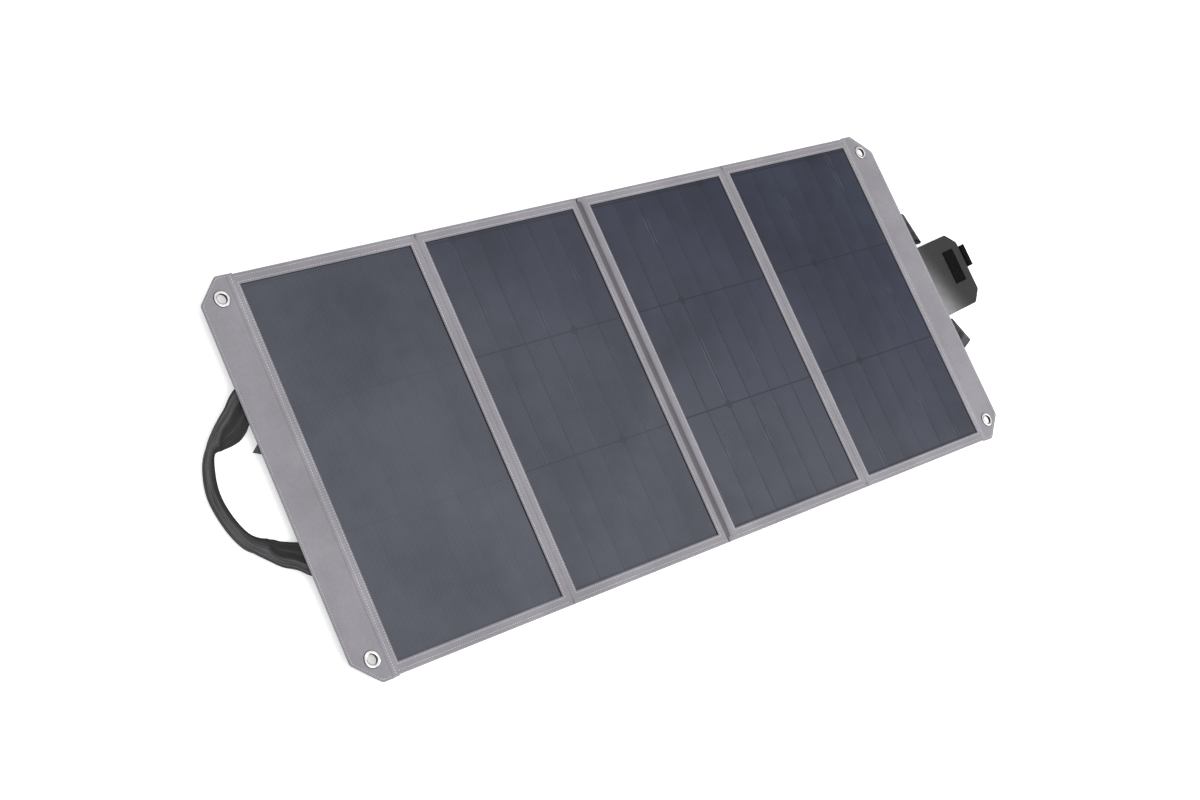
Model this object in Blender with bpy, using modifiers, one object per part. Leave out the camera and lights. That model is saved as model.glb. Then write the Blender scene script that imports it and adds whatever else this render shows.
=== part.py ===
"""Folding solar blanket: four window panels on fabric hinges, laid open and flat, face up.

Units in the constants are millimetres; U is one millimetre in metres. +X runs along the
blanket, +Y up each panel and +Z out of the face. The origin is the centre of the outline
on the surface that the blanket lies on.
"""

import math

import bmesh
import bpy
from mathutils import Matrix

U = 0.001

# Windows: nine half cells of a 156.75 mm wafer in each, three across and three up
WINDOW_W = 253.0
WINDOW_H = 487.0
GAP_FACE = 23.0  # between windows that fold face to face
GAP_BACK = 32.0  # between windows that fold back to back
BORDER = 14.5  # fabric above and below a window
LAP = 5.0  # how far the board reaches past its window at a hinge
FLAP_REACH = 60.0  # end flap, from the window to its outer edge
FLAP_STEP = 2.0  # end flap past the border, above and below
FLAP_CHAMFER = 32.0

WINDOWS_X = []
_edge = 0.0
for _gap in (GAP_FACE, GAP_BACK, GAP_FACE, 0.0):
    WINDOWS_X.append((_edge, _edge + WINDOW_W))
    _edge += WINDOW_W + _gap
FOLD_12_X = WINDOWS_X[0][1] + GAP_FACE / 2
FOLD_23_X = WINDOWS_X[1][1] + GAP_BACK / 2
FOLD_34_X = WINDOWS_X[2][1] + GAP_FACE / 2
LEFT_EDGE = WINDOWS_X[0][0] - FLAP_REACH
RIGHT_EDGE = WINDOWS_X[3][1] + FLAP_REACH
MID_Y = WINDOW_H / 2

# Handles: a webbing loop whose outline is a superellipse about the flap's edge
HANDLE_REACH = 82.0
HANDLE_HALF = 122.0
HOLE_REACH = 69.0
HOLE_HALF = 73.0
HANDLE_POWER = 1.4
HOLE_POWER = 1.8
WEBBING = 38.0
HANDLE_THICK = 6.0
PIVOT_OUT = 6.0  # left handle's pivot past the flap's edge
TUCK_OUT = 8.0  # the tucked right handle's pivot past the flap's edge
PIVOT_CLEAR = 3.5  # pivot to the start of the loop

# Closing tab on the right flap
TAB_REACH = 92.0
TAB_WIDTH = 118.0
TAB_CHAMFER = 18.0
PULL_REACH = 12.0
PULL_WIDTH = 36.0

# Levels above the surface
CLEAR = 0.3
PANEL_BACK = 14.0
BACK_COVER = (PANEL_BACK, 14.8)
BOARD = (15.1, 16.1)
CELLS = (16.4, 16.8)
FRONT_SHEET = (17.1, 17.7)
FRONT_FRAME = (18.0, 19.0)
FACE_AXIS_Z = FRONT_FRAME[1] + 0.5
BACK_AXIS_Z = 5.0
FLAP = (15.2, 17.2)
ANCHOR = (12.9, 14.9)
HINGE_FACE = (17.2, 18.4)
HINGE_BACK = (14.0, 15.2)
LEAD_FACE = (15.4, 16.2)
LEAD_BACK = (12.2, 13.0)
LEG = (5.5, 10.5)
LEG_HINGE = (12.3, 13.7)
TETHER = (10.8, 12.2)
TAB = (12.4, 14.4)
POCKET = (1.6, 13.6)
POCKET_SHEET = 1.0

# Eyelets
EYELET_R = 11.0
EYELET_HOLE_R = 6.25
EYELET_WALL = 0.8
EYELET_INSET_Y = 13.0
EYELET_LEFT_X = -30.0
EYELET_RIGHT_X = WINDOWS_X[3][1] + 34.0

# Support legs on the backs of the two middle panels
LEG_MARGIN = 24.0
LEG_LOW_Y = 70.0
LEG_TOP_Y = 400.0
LEG_AXIS_Y = 406.0

# Output box and its pocket on the back of the right panel
POCKET_X = (WINDOWS_X[3][0] + 25.0, WINDOWS_X[3][0] + 225.0)
POCKET_Y = (60.0, 230.0)
BOX_X = (POCKET_X[0] + 18.0, POCKET_X[0] + 118.0)
BOX_Y = (90.0, 160.0)

CENTRE_X = (LEFT_EDGE - HANDLE_REACH + RIGHT_EDGE + TAB_REACH + PULL_REACH) / 2


def clear_scene():
    for old in list(bpy.data.objects):
        bpy.data.objects.remove(old, do_unlink=True)


def collection(name):
    made = bpy.data.collections.new(name)
    bpy.context.scene.collection.children.link(made)
    return made


def material(name, colour, roughness, metallic=0.0):
    made = bpy.data.materials.new(name)
    made.use_nodes = True
    shader = made.node_tree.nodes["Principled BSDF"]
    shader.inputs["Base Color"].default_value = (*colour, 1.0)
    shader.inputs["Roughness"].default_value = roughness
    shader.inputs["Metallic"].default_value = metallic
    return made


def place(x, y, z):
    """A point of the blanket's own grid, in metres from the part's origin."""
    return ((x - CENTRE_X) * U, (y - MID_Y) * U, z * U)


def new_object(name, mesh, home, finish):
    made = bpy.data.objects.new(name, mesh)
    home.objects.link(made)
    if finish is not None:
        made.data.materials.append(finish)
    return made


def as_cutter(piece):
    piece.hide_render = True
    piece.display_type = "WIRE"
    return piece


def add_block(mesh, x, y, z, origin):
    """One box, spanning x, y and z in the blanket's grid, about `origin`."""
    made = bmesh.ops.create_cube(mesh, size=1.0)["verts"]
    size = [(high - low) * U for low, high in (x, y, z)]
    bmesh.ops.scale(mesh, vec=size, verts=made)
    middle = [(sum(span) / 2 - start) * U for span, start in zip((x, y, z), origin)]
    bmesh.ops.translate(mesh, vec=middle, verts=made)


def block(name, x, y, z, home, finish, origin=None, rounding=0.0):
    """A box that spans x, y and z, with its origin at `origin` in the blanket's grid."""
    if origin is None:
        origin = (sum(x) / 2, sum(y) / 2, sum(z) / 2)
    mesh = bmesh.new()
    add_block(mesh, x, y, z, origin)
    data = bpy.data.meshes.new(name)
    mesh.to_mesh(data)
    mesh.free()
    made = new_object(name, data, home, finish)
    made.location = place(*origin)
    if rounding:
        soften = made.modifiers.new("rounded_edges", "BEVEL")
        soften.width = rounding * U
        soften.segments = 2
        soften.limit_method = "ANGLE"
    return made


def boolean(piece, other, operation="DIFFERENCE"):
    step = piece.modifiers.new(operation.lower(), "BOOLEAN")
    step.operation = operation
    step.solver = "EXACT"
    step.object = other
    return piece


def sheet_from_outlines(name, outlines, z, home, finish, origin):
    """A flat piece of the given outline, with any further outlines as its holes."""
    curve = bpy.data.curves.new(name, "CURVE")
    curve.dimensions = "2D"
    curve.fill_mode = "BOTH"
    curve.extrude = (z[1] - z[0]) / 2 * U
    for outline in outlines:
        spline = curve.splines.new("POLY")
        spline.points.add(len(outline) - 1)
        spline.use_cyclic_u = True
        for point, (x, y) in zip(spline.points, outline):
            point.co = ((x - origin[0]) * U, (y - origin[1]) * U, 0.0, 1.0)
    source = bpy.data.objects.new(name + "_outline", curve)
    home.objects.link(source)
    source.location = (0.0, 0.0, ((z[0] + z[1]) / 2 - origin[2]) * U)
    bpy.context.view_layer.update()
    evaluated = source.evaluated_get(bpy.context.evaluated_depsgraph_get())
    data = bpy.data.meshes.new_from_object(evaluated)
    data.transform(source.matrix_world)
    bpy.data.objects.remove(source)
    mesh = bmesh.new()
    mesh.from_mesh(data)
    bmesh.ops.remove_doubles(mesh, verts=mesh.verts, dist=1e-6)
    bmesh.ops.recalc_face_normals(mesh, faces=mesh.faces)
    mesh.to_mesh(data)
    mesh.free()
    data.materials.clear()
    made = new_object(name, data, home, finish)
    made.location = place(*origin)
    return made


def add_cylinder(mesh, radius, height, centre, steps=16):
    made = bmesh.ops.create_cone(
        mesh,
        cap_ends=True,
        segments=steps,
        radius1=radius * U,
        radius2=radius * U,
        depth=height * U,
    )["verts"]
    bmesh.ops.translate(mesh, vec=[value * U for value in centre], verts=made)
    return made


def finish_mesh(name, mesh, home, finish, location):
    bmesh.ops.recalc_face_normals(mesh, faces=mesh.faces)
    data = bpy.data.meshes.new(name)
    mesh.to_mesh(data)
    mesh.free()
    made = new_object(name, data, home, finish)
    made.location = location
    return made


def panel_span(index):
    """The stiff part of a panel, from hinge to hinge or from hinge to end flap."""
    low, high = WINDOWS_X[index]
    return (low - LAP, high + LAP)


def front_frame(index, home, cutters, finish):
    x = panel_span(index)
    y = (-BORDER, WINDOW_H + BORDER)
    piece = block(f"front_frame_{index + 1}", x, y, FRONT_FRAME, home, finish)
    depth = (FRONT_FRAME[0] - 1.0, FRONT_FRAME[1] + 1.0)
    name = f"window_cutter_{index + 1}"
    window = block(name, WINDOWS_X[index], (0.0, WINDOW_H), depth, cutters, None)
    boolean(piece, as_cutter(window))


def cell_outline(x, y, corners):
    """A half cell, with cut corners on the two sides where the round wafer ended."""
    width, height, cut_corner = 78.4, 156.75, 8.3
    low_x, high_x = x - width / 2, x + width / 2
    low_y, high_y = y - height / 2, y + height / 2
    if corners == "right":
        return [
            (low_x, low_y),
            (high_x - cut_corner, low_y),
            (high_x, low_y + cut_corner),
            (high_x, high_y - cut_corner),
            (high_x - cut_corner, high_y),
            (low_x, high_y),
        ]
    return [
        (low_x + cut_corner, low_y),
        (high_x, low_y),
        (high_x, high_y),
        (low_x + cut_corner, high_y),
        (low_x, high_y - cut_corner),
        (low_x, low_y + cut_corner),
    ]


def cells(index, home, cutters, finish):
    """Nine half cells, three across and three up, joined in series by flat ribbons."""
    columns, rows = 3, 3
    middle_x = sum(WINDOWS_X[index]) / 2
    pitch_x, pitch_y = 82.0, 159.5
    ribbon_half = 1.5
    ribbon_z = (CELLS[0] + 0.05, CELLS[1] - 0.05)
    origin = (middle_x, MID_Y, CELLS[0])
    outlines = []
    ribbons = bmesh.new()
    for column in range(columns):
        x = middle_x + (column - (columns - 1) / 2) * pitch_x
        run = (x - ribbon_half, x + ribbon_half)
        add_block(ribbons, run, (MID_Y - pitch_y, MID_Y + pitch_y), ribbon_z, origin)
        for row in range(rows):
            y = MID_Y + (row - (rows - 1) / 2) * pitch_y
            corners = "right" if (column + index) % 2 else "left"
            outlines.append(cell_outline(x, y, corners))
    across = (middle_x - pitch_x, middle_x + pitch_x)
    add_block(ribbons, across, (MID_Y - ribbon_half, MID_Y + ribbon_half), ribbon_z, origin)
    data = bpy.data.meshes.new(f"ribbons_{index + 1}")
    ribbons.to_mesh(data)
    ribbons.free()
    joined = as_cutter(new_object(f"ribbons_{index + 1}", data, cutters, None))
    joined.location = place(*origin)
    string = sheet_from_outlines(f"cells_{index + 1}", outlines, CELLS, home, finish, origin)
    boolean(string, joined, "UNION")


def panel(index, home, cutters, looks):
    x = panel_span(index)
    number = index + 1
    film_lap = 4.0
    low, high = WINDOWS_X[index]
    film_x = (low - film_lap, high + film_lap)
    film_y = (-film_lap, WINDOW_H + film_lap)
    board_y = (-BORDER + 1.0, WINDOW_H + BORDER - 1.0)
    full_y = (-BORDER, WINDOW_H + BORDER)
    front_frame(index, home, cutters, looks["fabric"])
    block(f"front_sheet_{number}", film_x, film_y, FRONT_SHEET, home, looks["film"])
    cells(index, home, cutters, looks["cell"])
    block(f"board_{number}", x, board_y, BOARD, home, looks["board"])
    block(f"back_cover_{number}", x, full_y, BACK_COVER, home, looks["back_fabric"])


def hinge(names, axis_x, gap, hinge_z, lead_z, middle_gap, home, looks):
    """Fabric between two panels, and the flat lead beside it, each in two halves."""
    reach = gap / 2 - LAP - CLEAR
    lead_gap = middle_gap + 0.8
    fabric_y = (-BORDER, WINDOW_H + BORDER)
    lead_y = (40.0, 70.0)
    for side, name in zip((-1, 1), names):
        far = axis_x + side * reach
        fabric_x = sorted((axis_x + side * middle_gap, far))
        block(f"hinge_{name}", fabric_x, fabric_y, hinge_z, home, looks["fabric"])
        lead_x = sorted((axis_x + side * lead_gap, far))
        block(f"lead_{name}", lead_x, lead_y, lead_z, home, looks["lead"])


def flap_outline(edge, seam):
    """A rectangle from the seam to the outer edge, with both outer corners cut at 45 degrees."""
    inward = FLAP_CHAMFER if edge < seam else -FLAP_CHAMFER
    low = -BORDER - FLAP_STEP
    high = WINDOW_H + BORDER + FLAP_STEP
    return [
        (seam, low),
        (edge + inward, low),
        (edge, low + FLAP_CHAMFER),
        (edge, high - FLAP_CHAMFER),
        (edge + inward, high),
        (seam, high),
    ]


def eyelet_places():
    return {"low": EYELET_INSET_Y, "high": WINDOW_H - EYELET_INSET_Y}


def end_flap(side, edge, seam, eyelet_x, home, cutters, looks):
    origin = (edge, MID_Y, FLAP[0])
    flap = sheet_from_outlines(
        f"{side}_flap", [flap_outline(edge, seam)], FLAP, home, looks["fabric"], origin
    )
    punch = bmesh.new()
    hole_r = EYELET_HOLE_R + EYELET_WALL + CLEAR
    for y in eyelet_places().values():
        add_cylinder(punch, hole_r, 8.0, (0.0, y - MID_Y, 0.0), steps=24)
    middle = (eyelet_x, MID_Y, sum(FLAP) / 2)
    cutter = finish_mesh(f"{side}_eyelet_cutter", punch, cutters, None, place(*middle))
    boolean(flap, as_cutter(cutter))
    for end, y in eyelet_places().items():
        eyelet(f"{side}_eyelet_{end}", (eyelet_x, y), home, looks["nickel"])


def eyelet(name, centre, home, finish):
    """A flanged barrel through the flap, rolled over its washer at the back."""
    inner, outer = EYELET_HOLE_R, EYELET_HOLE_R + EYELET_WALL
    front, back = FLAP[1] + CLEAR, FLAP[0] - CLEAR
    top, bottom = FLAP[1] + 1.4, FLAP[0] - 1.5
    profile = [
        (inner + 1.0, top),
        (EYELET_R - 1.2, top),
        (EYELET_R, front),
        (outer, front),
        (outer, back),
        (EYELET_R - 0.5, back),
        (EYELET_R - 0.5, bottom),
        (inner + 0.5, bottom),
        (inner, bottom + 0.5),
        (inner, top - 1.0),
    ]
    mesh = bmesh.new()
    points = [mesh.verts.new((radius * U, 0.0, z * U)) for radius, z in profile]
    for here, there in zip(points, points[1:] + points[:1]):
        mesh.edges.new((here, there))
    data = bpy.data.meshes.new(name)
    mesh.to_mesh(data)
    mesh.free()
    made = new_object(name, data, home, finish)
    made.location = place(*centre, 0.0)
    turn = made.modifiers.new("turned", "SCREW")
    turn.axis = "Z"
    turn.steps = 24
    turn.render_steps = 24
    turn.use_merge_vertices = True
    turn.merge_threshold = 0.00001
    turn.use_smooth_shade = True


def superellipse(reach, half, power, start, count):
    """Points from +half to -half about MID_Y, at the distances past `start` from the edge."""
    limit = (1 - (start / reach) ** power) ** (1 / power) * half
    points = []
    for step in range(count + 1):
        across = limit * math.cos(math.pi * step / count)
        out = reach * (1 - (abs(across) / half) ** power) ** (1 / power)
        points.append((max(out, start), across))
    return points


def handle(name, edge, pivot, direction, home, finish):
    """The loop, drawn outwards from the flap's edge and laid along `direction` from its pivot."""
    start = abs(pivot[0] - edge) + PIVOT_CLEAR
    outer = superellipse(HANDLE_REACH, HANDLE_HALF, HANDLE_POWER, start, 24)
    hole = superellipse(HOLE_REACH, HOLE_HALF, HOLE_POWER, start, 16)
    from_pivot = abs(pivot[0] - edge)
    outline = []
    for out, across in outer + hole[::-1]:
        outline.append((pivot[0] + direction * (out - from_pivot), MID_Y + across))
    z = (pivot[1] - HANDLE_THICK / 2, pivot[1] + HANDLE_THICK / 2)
    origin = (pivot[0], MID_Y, pivot[1])
    sheet_from_outlines(name, [outline], z, home, finish, origin)


def handle_anchors(side, edge, outward, home, finish):
    """The two ends of the webbing, sewn flat to the back of the flap."""
    sewn, shown = 34.0, 5.0
    x = sorted((edge - outward * sewn, edge + outward * shown))
    for end, sign in (("low", -1), ("high", 1)):
        middle = MID_Y + sign * (HANDLE_HALF + HOLE_HALF) / 2
        y = (middle - WEBBING / 2, middle + WEBBING / 2)
        block(f"handle_anchor_{side}_{end}", x, y, ANCHOR, home, finish)


def closing_tab(home, looks):
    """The tab with its hook patch and pull, on a crease at the right flap's edge."""
    near = RIGHT_EDGE + 1.2
    far = RIGHT_EDGE + TAB_REACH
    low, high = MID_Y - TAB_WIDTH / 2, MID_Y + TAB_WIDTH / 2
    outline = [
        (near, low),
        (far - TAB_CHAMFER, low),
        (far, low + TAB_CHAMFER),
        (far, high - TAB_CHAMFER),
        (far - TAB_CHAMFER, high),
        (near, high),
    ]
    crease = (RIGHT_EDGE + 0.6, MID_Y, TAB[1] + 0.5)
    sheet_from_outlines("closing_tab", [outline], TAB, home, looks["dark_fabric"], crease)
    patch_z = (TAB[1] + CLEAR, TAB[1] + 1.5)
    patch_x = (RIGHT_EDGE + 50.0, RIGHT_EDGE + 75.0)
    patch_y = (MID_Y - 19.5, MID_Y + 34.5)
    block("tab_patch", patch_x, patch_y, patch_z, home, looks["hook"], crease)
    pull_x = (far + CLEAR, far + PULL_REACH)
    pull_y = (MID_Y - 2.5, MID_Y - 2.5 + PULL_WIDTH)
    pull_z = (TAB[0], TAB[1] + 1.2)
    block("tab_pull", pull_x, pull_y, pull_z, home, looks["webbing"], crease)


def landing_tab(home, looks):
    """What the closing tab grips when the blanket is folded, behind the left flap."""
    z = (ANCHOR[0] + 0.4, FLAP[0] - CLEAR)
    corner = (LEFT_EDGE - 9.0, MID_Y + 42.5)
    outline = [
        (LEFT_EDGE + 12.0, MID_Y - 42.0),
        (LEFT_EDGE + 48.0, MID_Y - 42.0),
        (LEFT_EDGE + 48.0, MID_Y + 52.0),
        (LEFT_EDGE + 2.0, MID_Y + 52.0),
        corner,
        (LEFT_EDGE + 2.0, MID_Y + 36.0),
    ]
    origin = (LEFT_EDGE + 30.0, MID_Y, z[0])
    sheet_from_outlines("landing_tab", [outline], z, home, looks["dark_fabric"], origin)


def leg(index, home, looks):
    """A covered board that swings away from the back, its sewn hinge and its folded tether."""
    number = index + 1
    low, high = WINDOWS_X[index]
    x = (low + LEG_MARGIN, high - LEG_MARGIN)
    middle = (low + high) / 2
    pivot = (middle, LEG_AXIS_Y, LEG_HINGE[0] - CLEAR)
    y = (LEG_LOW_Y, LEG_TOP_Y)
    block(f"leg_{number}", x, y, LEG, home, looks["back_fabric"], pivot, rounding=1.5)
    sewn_y = (LEG_AXIS_Y - 4.0, LEG_AXIS_Y + 26.0)
    block(f"leg_hinge_{number}", x, sewn_y, LEG_HINGE, home, looks["dark_fabric"])
    strap_x = (middle - 12.5, middle + 12.5)
    strap_y = (LEG_LOW_Y + 20.0, LEG_LOW_Y + 170.0)
    block(f"tether_{number}", strap_x, strap_y, TETHER, home, looks["webbing"], pivot)


def pocket(home, cutters, looks):
    """A sewn pocket, open at its top, with the flap that covers its mouth."""
    piece = block("pocket", POCKET_X, POCKET_Y, POCKET, home, looks["back_fabric"])
    wall = 2.0
    inner_x = (POCKET_X[0] + wall, POCKET_X[1] - wall)
    inner_y = (POCKET_Y[0] + wall, POCKET_Y[1] + wall)
    inner_z = (POCKET[0] + POCKET_SHEET, POCKET[1] + 1.0)
    hollow = block("pocket_cutter", inner_x, inner_y, inner_z, cutters, None)
    boolean(piece, as_cutter(hollow))
    crease = (sum(POCKET_X) / 2, POCKET_Y[1] + 18.0, POCKET[1])
    apron_y = (POCKET_Y[1] - 50.0, POCKET_Y[1] + 17.2)
    apron_z = (0.0, POCKET[1] - 0.4)
    thick = 1.2
    apron = block(
        "pocket_flap", POCKET_X, apron_y, apron_z, home, looks["dark_fabric"], crease
    )
    under_x = (POCKET_X[0] - 2.0, POCKET_X[1] + 2.0)
    under_y = (apron_y[0] - 2.0, apron_y[1] - thick)
    under_z = (apron_z[0] + thick, POCKET[1] + 1.0)
    under = block("apron_cutter", under_x, under_y, under_z, cutters, None)
    boolean(apron, as_cutter(under))


def output_box(home, cutters, looks):
    """The output box: a base on the panel's back, a snap-on lid, a board and a socket."""
    base_z = (6.5, 13.4)
    lid_z = (3.9, 6.2)
    wall = 2.0
    board_margin = 6.0
    base = block("output_box_base", BOX_X, BOX_Y, base_z, home, looks["plastic"])
    hollow_x = (BOX_X[0] + wall, BOX_X[1] - wall)
    hollow_y = (BOX_Y[0] + wall, BOX_Y[1] - wall)
    hollow_z = (base_z[0] - 1.0, base_z[1] - 1.2)
    hollow = block("base_cutter", hollow_x, hollow_y, hollow_z, cutters, None)
    boolean(base, as_cutter(hollow))
    plastic = looks["plastic"]
    block("output_box_lid", BOX_X, BOX_Y, lid_z, home, plastic, rounding=0.8)
    board_x = (hollow_x[0] + board_margin, hollow_x[1] - board_margin)
    board_y = (hollow_y[0] + board_margin, hollow_y[1] - board_margin)
    board_z = (8.2, 9.8)
    block("regulator_board", board_x, board_y, board_z, home, looks["board"])
    radius, length = 4.0, 12.0
    socket = bmesh.new()
    made = add_cylinder(socket, radius, length, (0.0, 0.0, 0.0), steps=24)
    sideways = Matrix.Rotation(math.pi / 2, 3, "X")
    bmesh.ops.rotate(socket, cent=(0.0, 0.0, 0.0), matrix=sideways, verts=made)
    middle = (BOX_X[1] - 22.0, BOX_Y[1] + CLEAR + length / 2, 9.0)
    finish_mesh("output_socket", socket, home, plastic, place(*middle))


def finishes():
    return {
        "fabric": material("grey_fabric", (0.27, 0.26, 0.29), 0.85),
        "back_fabric": material("back_fabric", (0.09, 0.09, 0.10), 0.9),
        "dark_fabric": material("dark_fabric", (0.06, 0.06, 0.065), 0.85),
        "webbing": material("webbing", (0.035, 0.036, 0.04), 0.75),
        "film": material("front_film", (0.05, 0.06, 0.08), 0.45),
        "cell": material("cell", (0.02, 0.024, 0.04), 0.3),
        "board": material("board", (0.12, 0.13, 0.10), 0.6),
        "lead": material("flat_lead", (0.02, 0.02, 0.02), 0.5),
        "nickel": material("nickel", (0.75, 0.75, 0.76), 0.22, 1.0),
        "hook": material("hook_fastener", (0.015, 0.015, 0.017), 0.95),
        "plastic": material("black_plastic", (0.03, 0.03, 0.032), 0.5),
    }


def hang(name, point, pieces, home, under=None):
    """Parent pieces, where they stand, to an empty on their joint's axis."""
    pivot = bpy.data.objects.new(name, None)
    home.objects.link(pivot)
    pivot.location = place(*point)
    turned = [bpy.data.objects[piece] for piece in pieces]
    for piece in turned:
        piece.parent = pivot
        piece.matrix_parent_inverse = Matrix.Translation(pivot.location).inverted()
    if under is not None:
        pivot.parent = under
        pivot.matrix_parent_inverse = Matrix.Translation(under.location).inverted()
    return pivot


def panel_pieces(index, *more):
    layers = ("front_frame", "front_sheet", "cells", "board", "back_cover")
    return [f"{layer}_{index + 1}" for layer in layers] + list(more)


def end_pieces(side):
    kinds = (f"{side}_eyelet", f"handle_anchor_{side}")
    return [f"{side}_flap"] + [f"{kind}_{end}" for kind in kinds for end in ("low", "high")]


def pivots(home):
    """One empty on each joint's axis, with the pieces that turn about it."""
    first = panel_pieces(0, "hinge_12_left", "lead_12_left", "landing_tab", *end_pieces("left"))
    fold_12 = hang("fold_12", (FOLD_12_X, MID_Y, FACE_AXIS_Z), first, home)
    third = panel_pieces(2, "hinge_23_right", "lead_23_right", "hinge_34_left", "lead_34_left")
    third.append("leg_hinge_3")
    fold_23 = hang("fold_23", (FOLD_23_X, MID_Y, BACK_AXIS_Z), third, home)
    box = ("output_box_base", "output_box_lid", "regulator_board", "output_socket", "pocket")
    last = panel_pieces(3, "hinge_34_right", "lead_34_right", *box, *end_pieces("right"))
    fold_34 = hang("fold_34", (FOLD_34_X, MID_Y, FACE_AXIS_Z), last, home, fold_23)
    for index, under in ((1, None), (2, fold_23)):
        middle = sum(WINDOWS_X[index]) / 2
        pieces = [f"leg_{index + 1}", f"tether_{index + 1}"]
        hang(f"leg_{index + 1}_swing", (middle, LEG_AXIS_Y, 12.0), pieces, home, under)
    left = (LEFT_EDGE - PIVOT_OUT, MID_Y, 12.0)
    hang("handle_left_swing", left, ["handle_left"], home, fold_12)
    right = (RIGHT_EDGE + TUCK_OUT, MID_Y, 8.5)
    hang("handle_right_swing", right, ["handle_right"], home, fold_34)
    tab = ["closing_tab", "tab_patch", "tab_pull"]
    hang("tab_fold", (RIGHT_EDGE + 0.6, MID_Y, 14.9), tab, home, fold_34)
    mouth = (sum(POCKET_X) / 2, POCKET_Y[1] + 18.0, 13.6)
    hang("pocket_flap_lift", mouth, ["pocket_flap"], home, fold_34)


def build():
    clear_scene()
    home = collection("folding_solar_blanket")
    cutters = collection("cutters")
    looks = finishes()
    for index in range(len(WINDOWS_X)):
        panel(index, home, cutters, looks)
    face_gap, back_gap = 0.8, CLEAR / 2
    folds = (
        (("12_left", "12_right"), FOLD_12_X, GAP_FACE, HINGE_FACE, LEAD_FACE, face_gap),
        (("23_left", "23_right"), FOLD_23_X, GAP_BACK, HINGE_BACK, LEAD_BACK, back_gap),
        (("34_left", "34_right"), FOLD_34_X, GAP_FACE, HINGE_FACE, LEAD_FACE, face_gap),
    )
    for names, axis_x, gap, hinge_z, lead_z, middle_gap in folds:
        hinge(names, axis_x, gap, hinge_z, lead_z, middle_gap, home, looks)
    left_seam = panel_span(0)[0] - CLEAR
    right_seam = panel_span(3)[1] + CLEAR
    end_flap("left", LEFT_EDGE, left_seam, EYELET_LEFT_X, home, cutters, looks)
    end_flap("right", RIGHT_EDGE, right_seam, EYELET_RIGHT_X, home, cutters, looks)
    handle_anchors("left", LEFT_EDGE, -1, home, looks["webbing"])
    handle_anchors("right", RIGHT_EDGE, 1, home, looks["webbing"])
    left_pivot = (LEFT_EDGE - PIVOT_OUT, 12.0)
    right_pivot = (RIGHT_EDGE + TUCK_OUT, 8.5)
    handle("handle_left", LEFT_EDGE, left_pivot, -1, home, looks["webbing"])
    handle("handle_right", RIGHT_EDGE, right_pivot, -1, home, looks["webbing"])
    closing_tab(home, looks)
    landing_tab(home, looks)
    for index in (1, 2):
        leg(index, home, looks)
    pocket(home, cutters, looks)
    output_box(home, cutters, looks)
    pivots(home)


build()
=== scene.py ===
"""Looks for the folding solar blanket: woven fronts, textured film, webbing, eyelets, stitches and light.

Lengths are metres; MM is one millimetre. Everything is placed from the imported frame's boxes.
"""

import math

import bmesh
import bpy
import numpy as np
from mathutils import Matrix, Vector


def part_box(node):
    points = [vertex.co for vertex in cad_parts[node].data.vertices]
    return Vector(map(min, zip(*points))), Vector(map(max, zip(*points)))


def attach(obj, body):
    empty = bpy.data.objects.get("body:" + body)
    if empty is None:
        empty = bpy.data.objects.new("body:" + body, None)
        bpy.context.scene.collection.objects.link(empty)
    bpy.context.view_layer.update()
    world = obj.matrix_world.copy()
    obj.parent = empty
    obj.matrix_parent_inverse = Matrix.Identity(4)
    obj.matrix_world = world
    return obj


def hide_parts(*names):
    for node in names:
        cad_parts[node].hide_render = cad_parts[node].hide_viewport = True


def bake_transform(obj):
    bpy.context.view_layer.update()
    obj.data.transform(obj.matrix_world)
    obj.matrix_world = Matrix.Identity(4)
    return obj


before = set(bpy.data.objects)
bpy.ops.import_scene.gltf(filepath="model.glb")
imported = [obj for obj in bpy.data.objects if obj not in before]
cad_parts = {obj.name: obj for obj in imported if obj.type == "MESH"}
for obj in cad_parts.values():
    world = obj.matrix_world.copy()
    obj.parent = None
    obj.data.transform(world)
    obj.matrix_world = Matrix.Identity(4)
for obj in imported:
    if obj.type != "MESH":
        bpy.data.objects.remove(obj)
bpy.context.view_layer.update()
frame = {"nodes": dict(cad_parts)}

MM = 0.001
LAP = 5.0 * MM  # panel past its window at a hinge
BORDER = 14.5 * MM  # panel above and below its window
FACES = [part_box(f"front_frame_{number}") for number in (1, 2, 3, 4)]
FRONT_Z = FACES[0][1].z
BACK_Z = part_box("back_cover_1")[0].z
FILM_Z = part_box("front_sheet_1")[1].z
LOW_Y, HIGH_Y = FACES[0][0].y, FACES[0][1].y
MID_Y = (LOW_Y + HIGH_Y) / 2
WINDOW_Y = (LOW_Y + BORDER, HIGH_Y - BORDER)
WINDOWS_X = [(low.x + LAP, high.x - LAP) for low, high in FACES]
LEFT_FLAP, RIGHT_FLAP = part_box("left_flap"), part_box("right_flap")
LEFT_EDGE, RIGHT_EDGE = LEFT_FLAP[0].x, RIGHT_FLAP[1].x
FLAP_TOP = LEFT_FLAP[1].z
FLAP_BACK = LEFT_FLAP[0].z
FOLDS = {
    "12": ("panel_2", "panel_1"),
    "23": ("panel_2", "panel_3"),
    "34": ("panel_3", "panel_4"),
}


# ---------------------------------------------------------------- node materials

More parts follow.
